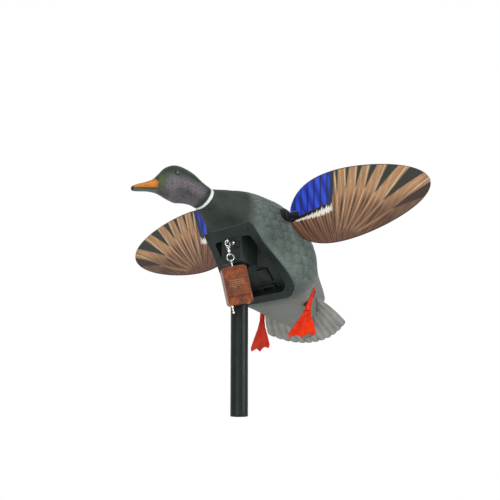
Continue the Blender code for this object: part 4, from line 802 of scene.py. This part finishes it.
head_points, head_angles, head_row = lofted(HEAD_ROWS, 20, 160)
outward = normals_of(head_points)
row = head_row[:, None] + np.zeros(head_points.shape[1])[None, :]
up = np.sin(head_angles)[None, :] + np.zeros_like(row)
flat = np.cos(head_angles)[None, :] + np.zeros_like(row)
brow = row + 0.55 * (1 - np.abs(up)) ** 2 - 0.25 * np.clip(up, 0, 1) ** 3
bill = smooth_step(brow, 5.62, 5.80)
mouth_height = -0.62 - 0.08 * smooth_step(row, 6.0, 7.0) + 0.12 * smooth_step(row, 7.6, 9.0)
on_bill = smooth_step(row, 5.5, 5.8) * fall(row, 9.2, 9.7)
gape = bell(up - mouth_height, 0.10) * on_bill
jaw = fall(up, mouth_height - 0.06, mouth_height + 0.02) * bill
nail = smooth_step(row, 9.05, 9.30) + 0.0 * flat
nostril = bell(row - 6.85, 0.16) * bell(up - 0.62, 0.13) * (np.abs(flat) > 0.2)
ridge = bell(brow - 5.66, 0.12)
cheek_swell = bell(row - 3.3, 1.0) * bell(up + 0.25, 0.45)
brow_ridge = bell(row - 3.0, 1.2) * bell(up - 0.62, 0.12)
strands = np.sin(head_angles * 46.0)[None, :] * np.sin(row * 24.0 + 3.0 * flat) * (1 - bill)
ring_line = bell(row - 0.31, 0.05)
push = -0.35 + 0.3 * cheek_swell + 0.30 * brow_ridge + 0.04 * strands - 0.45 * gape - 0.5 * nostril
push = push + 0.18 * ridge - 0.22 * ring_line + 0.25 * nail
push = push * smooth_step(row, 0.0, 0.15) * (1 - 0.8 * smooth_step(row, 9.6, 10.0))
head_points = head_points + outward * push[..., None]
face_skin = grid_mesh("decoy_head", head_points * MM)
store(face_skin, "bill", bill)
store(face_skin, "jaw", jaw)
store(face_skin, "gape", np.clip(gape + nostril, 0, 1))
store(face_skin, "nail", nail)
bill_mid = smooth_step(up, 0.45, 0.8) * smooth_step(row, 6.6, 7.6) * 0.7 * bill
store(face_skin, "bill_mid", bill_mid)
store(face_skin, "collar", fall(row, 0.27, 0.33))
low_mask = fall(up + 0.10 * (row - 3.0), -0.05, 0.55) * smooth_step(row, 0.5, 0.9) * (1 - bill)
store(face_skin, "low", low_mask)
patch = bell(row - 4.7, 0.45) * bell(up - 0.1, 0.5) * (1 - bill)
store(face_skin, "cheek", np.clip(1.5 * patch, 0, 1))
head_piece = link_piece("decoy_head", face_skin, HEAD, "bird", "head", 60.0)
EYE_BALL = 3.6
EYE_SOCKET = 4.0


def ball_shape(radius, reach, points, steps):
    """A ball from an arc of its outline between minus reach and reach in radians."""
    arc = [(radius * math.cos(a), radius * math.sin(a)) for a in np.linspace(-reach, reach, points)]
    return turned_shape([(0.0, -radius)] + arc + [(0.0, radius)], steps=steps)


for name, _ in SIDES:
    low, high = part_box(f"eye_{name}")
    spot = Matrix.Translation((low + high) / 2)
    boolean(head_piece, cutter("eye_socket", ball_shape(EYE_SOCKET, 1.4, 15, 40), spot))
    ball = ball_shape(EYE_BALL, 1.5, 25, 48)
    bmesh_piece(ball, f"eye_ball_{name}", spot, EYE, "bird", f"eye_{name}")
shade(head_piece, 50.0)


# ---------------------------------------------------------------- wings

def srgb(*colour):
    """A linear colour from display values of 0 to 255."""
    return np.array([((c / 255 + 0.055) / 1.055) ** 2.4 if c > 10 else c / 255 / 12.92 for c in colour])


def paint(base, mask, colour):
    """A colour laid over the base where the mask is 1."""
    return base * (1 - mask[:, None]) + np.asarray(colour) * mask[:, None]


# Dark wedges between the outer feathers: share of the span, height, direction in degrees and widening
WEDGES = (
    (0.374, 15.0, 85.0, 0.060),
    (0.436, 17.0, 77.0, 0.075),
    (0.503, 16.0, 68.0, 0.105),
    (0.566, 12.0, 57.0, 0.135),
    (0.630, 3.0, 44.0, 0.150),
    (0.680, -10.0, 30.0, 0.140),
    (0.733, -24.0, 16.0, 0.120),
)
SPAN = 247.0
ROOT_X = 80.0  # the point that all quills spread from
ROOT_D = -91.0
WING_ROOT_X = 56.6
WING_OFFSET = -2.6
HALF_CHORD = 49.9
HALF_SHEET = 0.8


def wing_print(s, d, h):
    """The print's colour where s is the share of the span and d the height over the mid-line in mm."""
    x = s * SPAN
    phi = np.arctan2(d - ROOT_D, x - ROOT_X)
    reach = np.hypot(d - ROOT_D, x - ROOT_X)
    streak = wave(phi * 90.0 + 2.0 * np.sin(reach * 0.07))
    soft = wave(phi * 31.0 + 1.2 * np.sin(reach * 0.05) + 1.0)
    colour = paint(srgb(58, 34, 24), soft, srgb(138, 92, 62))
    colour = paint(colour, 0.6 * smooth_step(streak, 0.80, 1.0), srgb(214, 180, 138))
    colour = paint(colour, 0.5 * smooth_step(-d / h, 0.30, 0.95), srgb(104, 62, 40))
    tips_x = np.array([w[0] * SPAN for w in WEDGES])
    tips_d = np.array([w[1] for w in WEDGES])
    for tip_x, tip_d in zip(tips_x, tips_d):
        start = np.array([80.0 + 0.28 * (tip_x - 92.0), -46.0])
        line = np.array([tip_x, tip_d]) - start
        length = np.hypot(*line)
        line = line / length
        along = (x - start[0]) * line[0] + (d - start[1]) * line[1]
        across = (d - start[1]) * line[0] - (x - start[0]) * line[1]
        across = across + 1.5 * np.sin(np.clip(along / length, 0, 1) * math.pi)
        on = smooth_step(along, 6.0, 20.0) * fall(along, length + 4.0, length + 8.0)
        vane = fall(np.abs(across), 1.5, 3.4) * on
        colour = paint(colour, 0.6 * vane, srgb(164, 120, 84))
        colour = paint(colour, 0.9 * on * fall(np.abs(across), 0.3, 0.9), srgb(214, 186, 148))
    fan_line = np.interp(x, np.append(tips_x, SPAN), np.append(tips_d, -62.0)) - 4.0
    fan_zone = smooth_step(d, fan_line - 14.0, fan_line + 10.0) * smooth_step(s, 0.352, 0.362)
    colour = paint(colour, 0.55 * fan_zone, srgb(196, 154, 112))
    for tip_s, tip_d, angle, widen in WEDGES:
        a = math.radians(angle)
        along = (x - tip_s * SPAN) * math.cos(a) + (d - tip_d) * math.sin(a)
        across = -(x - tip_s * SPAN) * math.sin(a) + (d - tip_d) * math.cos(a)
        across = across + 0.0008 * along * along
        half = 0.3 + widen * along
        inside = fall(np.abs(across) - half, -0.6, 0.6) * smooth_step(along, -1.0, 6.0)
        barb = wave(along * 2.2 + np.abs(across) * 2.8)
        dark = paint(srgb(24, 32, 28), barb, srgb(52, 54, 44))
        colour = paint(colour, inside, dark)
        quill = np.abs(across - half - 0.08 * along)
        on = smooth_step(along, 2.0, 12.0)
        colour = paint(colour, 0.85 * on * fall(quill, 0.4, 1.0), srgb(226, 198, 158))
    colour = paint(colour, 0.5 * smooth_step(-d / h, -0.1, 0.6), srgb(78, 48, 34))
    band_low = -3.0 + 34.0 * s
    edge_s = 0.325 + 0.0009 * d
    over_band = smooth_step(d, band_low - 0.8, band_low + 0.8)
    blue_zone = over_band * fall(s - edge_s, -0.004, 0.004)
    border = blue_zone * smooth_step(s - edge_s, -0.045, -0.012)
    stripe = np.zeros_like(s)
    for start in (0.035, 0.085, 0.135, 0.185, 0.235, 0.285):
        lean = start + 0.0006 * (d + 5.0)
        stripe = np.maximum(stripe, 1 - smooth_step(np.abs(s - lean), 0.004, 0.009))
    shine = wave(s * 90.0 + d * 0.12)
    blue = paint(srgb(20, 38, 150), shine, srgb(38, 78, 224))
    blue = paint(blue, 0.8 * stripe, srgb(12, 16, 48))
    colour = paint(colour, blue_zone, blue)
    colour = paint(colour, border, srgb(22, 44, 44))
    black_low = band_low - 5.0 - 4.0 * smooth_step(s, 0.02, 0.25)
    black = smooth_step(d, black_low - 0.6, black_low + 0.6) * (1 - over_band)
    black = black * fall(s, 0.300, 0.330)
    colour = paint(colour, black, srgb(14, 13, 14))
    slant = x - 0.35 * d
    saw = np.abs(((slant * 0.23) % 1.0) - 0.5) * 2.0
    saw = 0.6 * saw + 0.4 * np.abs(((slant * 0.11 + 0.3) % 1.0) - 0.5) * 2.0
    flame_top = black_low + (1.0 + 8.0 * smooth_step(s, 0.06, 0.30)) * saw
    flame_low = black_low - (3.0 + 4.0 * smooth_step(s, 0.04, 0.26)) * (0.15 + 0.85 * (1 - saw))
    flame = smooth_step(d, flame_low - 0.5, flame_low + 0.5)
    flame = flame * fall(d, flame_top - 0.5, flame_top + 0.5)
    flame = flame * smooth_step(s, 0.03, 0.05) * fall(s, 0.315, 0.335)
    colour = paint(colour, flame, srgb(232, 228, 220))
    margin = smooth_step(s, 0.55, 0.85) * smooth_step(-d / h, 0.1, 0.5)
    colour = paint(colour, 0.45 * margin, srgb(50, 31, 25))
    return paint(colour, smooth_step(np.abs(d) / h, 0.972, 0.985), srgb(28, 20, 18))


SPAN_STEPS = 300
CHORD_STEPS = 120
turn = np.linspace(math.pi - 0.03, 0.03, SPAN_STEPS)
share = 0.5 * (1 + np.cos(turn))
half_chord = HALF_CHORD * np.sin(turn) * (1 - 0.264 * np.cos(turn) + 0.09 * np.cos(turn) ** 2)
rise = np.linspace(-1.0, 1.0, CHORD_STEPS)
loop_d = np.concatenate([rise, rise[::-1]])
loop_y = np.concatenate([np.full(CHORD_STEPS, -HALF_SHEET), np.full(CHORD_STEPS, HALF_SHEET)])
loop_y[[0, CHORD_STEPS - 1, CHORD_STEPS, -1]] *= 0.5
for name, side in SIDES:
    grid = np.zeros((SPAN_STEPS, len(loop_d), 3))
    grid[..., 0] = side * (WING_ROOT_X + SPAN * share)[:, None]
    grid[..., 1] = loop_y[None, :]
    grid[..., 2] = WING_OFFSET + half_chord[:, None] * loop_d[None, :]
    d_all = (half_chord[:, None] * loop_d[None, :]).ravel()
    h_all = np.repeat(half_chord, len(loop_d))
    s_all = np.repeat(share, len(loop_d))
    sheet = grid_mesh(f"wing_board_{name}", grid * MM, True, side > 0)
    store_colour(sheet, "print", wing_print(s_all, d_all, h_all))
    bearing = np.arctan2(d_all - ROOT_D, s_all * SPAN - ROOT_X)
    away = np.hypot(d_all - ROOT_D, s_all * SPAN - ROOT_X)
    store_vector(sheet, "barbs", np.stack([bearing * 90.0, away * 0.05, 0 * away], axis=1))
    sheet.transform(WINGS)
    link_piece(f"wing_board_{name}", sheet, WING, f"wing_{name[0]}", f"wing_{name}", 50.0)


# ---------------------------------------------------------------- tail fan

FEATHERS = 12
FAN_ACROSS = 361
FAN_ALONG = 70
FAN_REACH = 132.0
FAN_CENTRE_Y = 71.0
FAN_HALF_ANGLE = 37.3
FAN_TOP = -28.7
FAN_LOW = -31.3
u = np.linspace(-1.0, 1.0, FAN_ACROSS)
v = np.linspace(0.0, 1.0, FAN_ALONG)[:, None]
place = (u + 1) / 2 * FEATHERS
part_of = place - np.floor(np.clip(place, 0, FEATHERS - 1e-6))
scallop = -2.2 + 2.7 * np.sqrt(np.clip(1 - (2 * part_of - 1) ** 2, 0, 1))
theta = np.radians(90.0 - FAN_HALF_ANGLE * u)
end_x = (FAN_REACH + scallop) * np.cos(theta)
end_y = FAN_CENTRE_Y + (FAN_REACH + scallop) * np.sin(theta)
bulge = 4.2 * u * np.sin(math.pi * v)
fan_x = 47.5 * u * (1 - v) + end_x * v + bulge
fan_y = 121.2 * (1 - v) + end_y * v
step_down = 0.45 * part_of
quill = bell(part_of - 0.5, 0.045) * (1 - 0.5 * v)
barb_lines = 0.05 * np.sin(v * 190.0 + np.abs(part_of - 0.5) * 26.0)
top_z = -28.72 - step_down + 0.28 * quill * (part_of > 0.2) - 0.06 + barb_lines
low_z = -31.28 + 0.45 * (1 - part_of) - 0.28 * quill * (part_of < 0.8) + 0.06 - barb_lines
top_z = np.minimum(top_z, FAN_TOP)
low_z = np.maximum(low_z, FAN_LOW)
loops = np.zeros((FAN_ALONG, 2 * FAN_ACROSS, 3))
loops[:, :FAN_ACROSS] = np.stack([fan_x, fan_y, top_z], axis=2)
loops[:, FAN_ACROSS:] = np.stack([fan_x, fan_y, low_z], axis=2)[:, ::-1]
fan = grid_mesh("tail_feathers", loops * MM, True)
both = np.concatenate([part_of, part_of[::-1]])
vein = bell(both - 0.5, 0.05) + 0.0 * v
edge = np.clip(bell(both, 0.07) + bell(1 - both, 0.05), 0, 1)
root_shade = 0.5 * fall(v, 0.0, 0.25)
tip_shade = 0.25 * smooth_step(v, 0.98, 1.0)
store(fan, "vein", vein)
store(fan, "shade", np.clip(edge * 0.40 + root_shade + tip_shade, 0, 1))
chevron = v * 190.0 + np.abs(both - 0.5) * 60.0
barb_place = np.stack([chevron * 0.8, both * 2.0 + 0 * chevron, 0 * chevron], axis=2)
store_vector(fan, "barbs", barb_place)
fan.transform(BIRD)
link_piece("tail_feathers", fan, TAIL, "bird", "tail_fan", 30.0)


# ---------------------------------------------------------------- legs

LEG_HALF = (
    (4.5, 8.0),
    (4.5, -10.0),
    (3.8, -32.0),
    (8.5, -46.0),
    (17.0, -62.0),
    (23.5, -75.0),
    (21.5, -80.5),
    (16.0, -78.0),
    (9.0, -76.6),
    (3.5, -80.0),
    (0.0, -83.0),
)
WEB_HALF = 1.2
TOE_RADIUS = 1.65
SHANK_RADIUS = 3.9
CLAW_RADIUS = 1.9
ANKLE = (0.0, 0.0, -33.0)
SHANK_LINE = ((0.0, 0.0, 1.5), (0.0, 0.0, -30.0), (0.0, 0.0, -37.0))
TOE_TIPS = ((0.0, -80.5), (20.6, -77.2), (-20.6, -77.2))
CLAWS = ((0.0, -81.2), (20.8, -78.0), (-20.8, -78.0))
for name, side, lean in LEGS:
    outline = list(LEG_HALF) + [(-x, z) for x, z in reversed(LEG_HALF[:-1])]
    shape = prism_shape(outline, -WEB_HALF, WEB_HALF)
    soften_edges(shape, 0.5, 3, 0.6)
    bmesh.ops.rotate(shape, matrix=Matrix.Rotation(math.radians(90.0), 3, "X"), verts=shape.verts)
    for toe_x, toe_z in TOE_TIPS:
        knuckle = (0.10 * toe_x, 0.0, -40.0)
        bend = (0.25 * toe_x, 0.0, -46.0)
        add_tube(shape, (ANKLE, knuckle, bend, (toe_x, 0.0, toe_z)), TOE_RADIUS, 16)
    add_tube(shape, SHANK_LINE, SHANK_RADIUS, 24)
    for claw_x, claw_z in CLAWS:
        spot = Matrix.Translation((claw_x * MM, 0.0, claw_z * MM))
        bmesh.ops.create_uvsphere(shape, u_segments=16, v_segments=10, radius=CLAW_RADIUS * MM, matrix=spot)
    bmesh_piece(shape, f"foot_{name}", leg_frame(side, lean), ORANGE, "bird", f"leg_{name}")


# ---------------------------------------------------------------- pole, tray, door, latch

POLE_RADIUS = 12.7
POLE_BORE = 11.2
POLE_TOP = 281.0
POLE_PROFILE = (
    (POLE_BORE, 0.5),
    (11.6, 0.0),
    (12.3, 0.0),
    (POLE_RADIUS, 0.5),
    (POLE_RADIUS, 280.5),
    (12.2, POLE_TOP),
    (POLE_BORE, POLE_TOP),
)
pole_shape = turned_shape(POLE_PROFILE, steps=72)
bmesh_piece(pole_shape, "stake_tube", STAND, PAINT, "pole", "pole")
softened("tray_skin", "belly_tray", "bird", TRAY, 0.0006)
softened("door_skin", "battery_door", "door", TRAY, 0.0003, 2)
softened("latch_skin", "door_latch", "latch", TRAY, 0.0004, 3)
softened("socket_skin", "pole_socket", "bird", BLACK, 0.0003, 2)


# ---------------------------------------------------------------- bushes and hubs

# Half sections as (radius, distance from the middle), for the side that faces +x
BUSH_PROFILE = (
    (4.6, 37.0), (6.7, 37.0), (7.0, 37.3), (7.0, 47.2), (11.3, 47.2), (11.5, 47.4), (11.5, 49.2),
    (11.2, 49.7), (10.3, 50.0), (9.6, 50.0), (9.3, 50.3), (8.6, 50.6), (4.9, 50.6), (4.6, 50.3),
)
HUB_PROFILE = (
    (2.3, 38.0), (4.1, 38.0), (4.3, 38.2), (4.3, 51.6), (6.7, 51.6), (7.0, 51.9), (7.0, 54.6), (6.4, 55.4),
    (4.9, 55.6), (4.6, 55.9), (4.6, 73.0), (4.3, 73.7), (3.6, 74.0), (0.0, 74.0), (0.0, 52.8), (2.3, 52.8),
)
MAGNET_ROOM = ((0.0, 53.6), (2.8, 53.6), (2.8, 56.3), (0.0, 56.3))
WING_SLOT = ((56.0, -1.1, -10.0), (79.0, 1.1, 10.0))
METAL_STRIP = ((57.0, -2.4, 4.05), (72.0, 2.4, 4.9))
for name, side in SIDES:
    flip = Matrix.Scale(side, 4, (1.0, 0.0, 0.0))
    bush = turned_shape(BUSH_PROFILE, "X", steps=64)
    bmesh_piece(bush, f"bush_ring_{name}", BIRD @ flip, BLACK, "bird", f"axle_bush_{name}")
    hub = turned_shape(HUB_PROFILE, "X", steps=56)
    hub_node = f"wing_hub_{name}"
    hub_piece = bmesh_piece(hub, f"hub_peg_{name}", WINGS @ flip, BLACK, "rotor", hub_node)
    boolean(hub_piece, cutter("slot", box_shape(*WING_SLOT), WINGS @ flip))
    boolean(hub_piece, cutter("pocket", turned_shape(MAGNET_ROOM, "X", steps=32), WINGS @ flip))
    shade(hub_piece, 35.0)
    strip = box_shape(*METAL_STRIP)
    soften_edges(strip, 0.25, 3)
    bmesh_piece(strip, f"peg_strip_{name}", WINGS @ flip, NICKEL, "rotor")


# ---------------------------------------------------------------- lanyard chain

# Everything hangs down -z of the chain frame
EYE_RADIUS = 2.7
EYE_WIRE = 0.7
HOOK_RADIUS = 3.2
HOOK_WIRE = 0.8
LINK_RADIUS = 2.0
LINK_WIRE = 0.75
SWIVEL_EYE_Z = -16.9
RING_RADIUS = 5.2
RING_WIRE = 0.75
RING_Z = -22.1
LUG_Z = -27.3
STEM_END_Y = -16.3

eye = bmesh.new()
add_torus(eye, EYE_RADIUS, EYE_WIRE, (0.0, 0.0, EYE_RADIUS), "X")
bmesh.ops.transform(eye, matrix=EYE_FRAME, verts=eye.verts)
turn = math.radians(CHAIN_TURN)
away = Vector((-math.sin(turn), math.cos(turn), 0.0)) * EYE_RADIUS
stem_x = 7.6 + away.x
stem_y = -33.0 + away.y
stem_z = 249.7
stem_profile = ((0.0, 0.0), (1.2, 0.0), (1.2, STEM_END_Y - stem_y), (0.0, STEM_END_Y - stem_y))
stem = turned_shape(stem_profile, "Y", (stem_x, stem_y - 0.3, stem_z), 24)
washer_profile = ((0.0, 0.0), (2.4, 0.0), (2.6, 0.2), (2.6, 0.9), (0.0, 0.9))
washer = turned_shape(washer_profile, "Y", (stem_x, -19.2, stem_z), 32)
bmesh_piece(merged(eye, stem, washer), "screw_eye", STAND, NICKEL, "bird", "lanyard_eye")

hook_line = [(0.0, 0.0, -4.6), (-1.4, 0.0, -4.4), (-2.5, 0.0, -3.7), (-3.05, 0.0, -2.6), (-3.2, 0.0, -1.2)]
for degrees in range(180, 28, -8):
    angle = math.radians(degrees)
    hook_line.append((HOOK_RADIUS * math.cos(angle), 0.0, HOOK_RADIUS * math.sin(angle)))
hook = bmesh.new()
add_tube(hook, hook_line, HOOK_WIRE, 16)
snap_block = box_shape((-2.6, -1.5, -8.0), (2.6, 1.5, -4.2))
soften_edges(snap_block, 0.7, 4)
cheek = box_shape((1.4, -1.5, -5.4), (4.4, 1.5, -4.5))
soften_edges(cheek, 0.3, 4)
bmesh_piece(merged(hook, snap_block, cheek), "snap_hook", CHAIN, NICKEL, "clasp", "snap_clasp")
gate_profile = ((0.0, -0.7), (0.55, -0.7), (0.75, -0.5), (0.75, 3.6), (0.45, 4.0), (0.0, 4.0))
gate = turned_shape(gate_profile, "Z", (3.2, 0.0, -3.4), 24)
bmesh_piece(gate, "snap_gate", CHAIN, NICKEL, "gate", "clasp_gate")

BARREL_PROFILE = (
    (0.0, -8.3), (1.9, -8.3), (2.2, -8.6), (2.3, -9.0), (2.3, -10.3), (1.95, -10.5), (1.95, -10.8),
    (2.3, -11.0), (2.3, -13.2), (2.0, -14.0), (1.2, -14.6), (0.0, -14.6),
)
barrel = turned_shape(BARREL_PROFILE, "Z", steps=40)
swivel_ring = bmesh.new()
add_torus(swivel_ring, LINK_RADIUS, LINK_WIRE, (0.0, 0.0, SWIVEL_EYE_Z), "X", 48, 14)
bmesh_piece(merged(barrel, swivel_ring), "swivel_barrel", CHAIN, NICKEL, "swivel", "swivel_eye")
key = bmesh.new()
add_torus(key, RING_RADIUS, RING_WIRE, (0.0, 0.0, RING_Z), "Y", 72, 16)
bmesh_piece(key, "split_ring", CHAIN, NICKEL, "ring", "key_ring")
lug_ring = bmesh.new()
add_torus(lug_ring, LINK_RADIUS, LINK_WIRE, (0.0, 0.0, LUG_Z), "X", 48, 14)
lug_profile = ((0.0, -29.3), (1.3, -29.3), (1.3, -38.8), (2.3, -38.8), (2.3, -40.0), (0.0, -40.0))
lug_rod = turned_shape(lug_profile, "Z", steps=32)
bmesh_piece(merged(lug_ring, lug_rod), "lug_loop", CHAIN, NICKEL, "remote", "remote_lug")


# ---------------------------------------------------------------- remote

softened("fob_front", "remote_front_shell", "remote", WOOD, 0.0005, 3)
softened("fob_back", "remote_back_shell", "remote", WOOD, 0.0007, 3)
softened("fob_cover", "remote_cover", "cover", WOOD, 0.00025, 2)
COVER_FACE_Y = -6.80
DOT_ROWS = (10, 10, 10, 6)
DOT_RADIUS = 0.8
DOT_PITCH = 2.3
DOT_TOP = -57.0
DOT_ROW_DROP = 3.0
marks = bmesh.new()
flatten = Matrix.Scale(0.5, 4, (0.0, 1.0, 0.0))
for line, dots in enumerate(DOT_ROWS):
    for i in range(dots):
        spot = Vector(((i - 4.5) * DOT_PITCH, COVER_FACE_Y, DOT_TOP - DOT_ROW_DROP * line))
        where = Matrix.Translation(spot * MM) @ flatten
        bmesh.ops.create_uvsphere(marks, u_segments=12, v_segments=8, radius=DOT_RADIUS * MM, matrix=where)
bmesh_piece(marks, "cover_dots", CHAIN, DOTS, "cover")

BUTTON_Z = -49.0
BUTTON_PROFILE = (
    (0.0, -4.72), (1.8, -4.72), (2.6, -4.66), (3.0, -4.45), (3.2, -4.1), (3.2, -2.5), (4.1, -2.5),
    (4.1, -1.8), (0.0, -1.8),
)
for name, x in (("on", -7.0), ("off", 7.0)):
    button = turned_shape(BUTTON_PROFILE, "Y", (x, 0.0, BUTTON_Z), 40)
    node = f"remote_button_{name}"
    bmesh_piece(button, f"key_{name}", CHAIN, RUBBER, f"button_{name}", node)

AERIAL = (-12.6, 0.0, 0.0)
SLEEVE_PROFILE = ((1.1, -94.8), (1.3, -95.0), (1.45, -95.0), (1.6, -94.8), (1.6, -58.4), (1.1, -58.4))
WHIP_PROFILE = (
    (0.0, -59.4), (0.8, -59.4), (0.8, -100.6), (1.4, -101.0), (1.7, -101.4), (1.7, -103.2), (1.5, -103.7),
    (1.1, -103.9), (0.0, -103.9),
)
sleeve = turned_shape(SLEEVE_PROFILE, "Z", AERIAL, 32)
bmesh_piece(sleeve, "aerial_sleeve", CHAIN, NICKEL, "aerial_tube", "antenna_tube")
whip = turned_shape(WHIP_PROFILE, "Z", AERIAL, 32)
bmesh_piece(whip, "aerial_whip", CHAIN, NICKEL, "aerial_rod", "antenna_rod")


# ---------------------------------------------------------------- floor and finish

FLOOR_HALF = 9
FLOOR_Z = -0.36
floor_mesh = bpy.data.meshes.new("floor")
floor_corners = [(x * FLOOR_HALF, y * FLOOR_HALF, FLOOR_Z) for x, y in ((-1, -1), (1, -1), (1, 1), (-1, 1))]
floor_mesh.from_pydata(floor_corners, [], [(0, 1, 2, 3)])
floor = placed("floor", floor_mesh)
pale = Nodes("pale_floor", 0.8, 0.0, 0.0, (0.85, 0.85, 0.85))
floor_mesh.materials.append(pale.material)
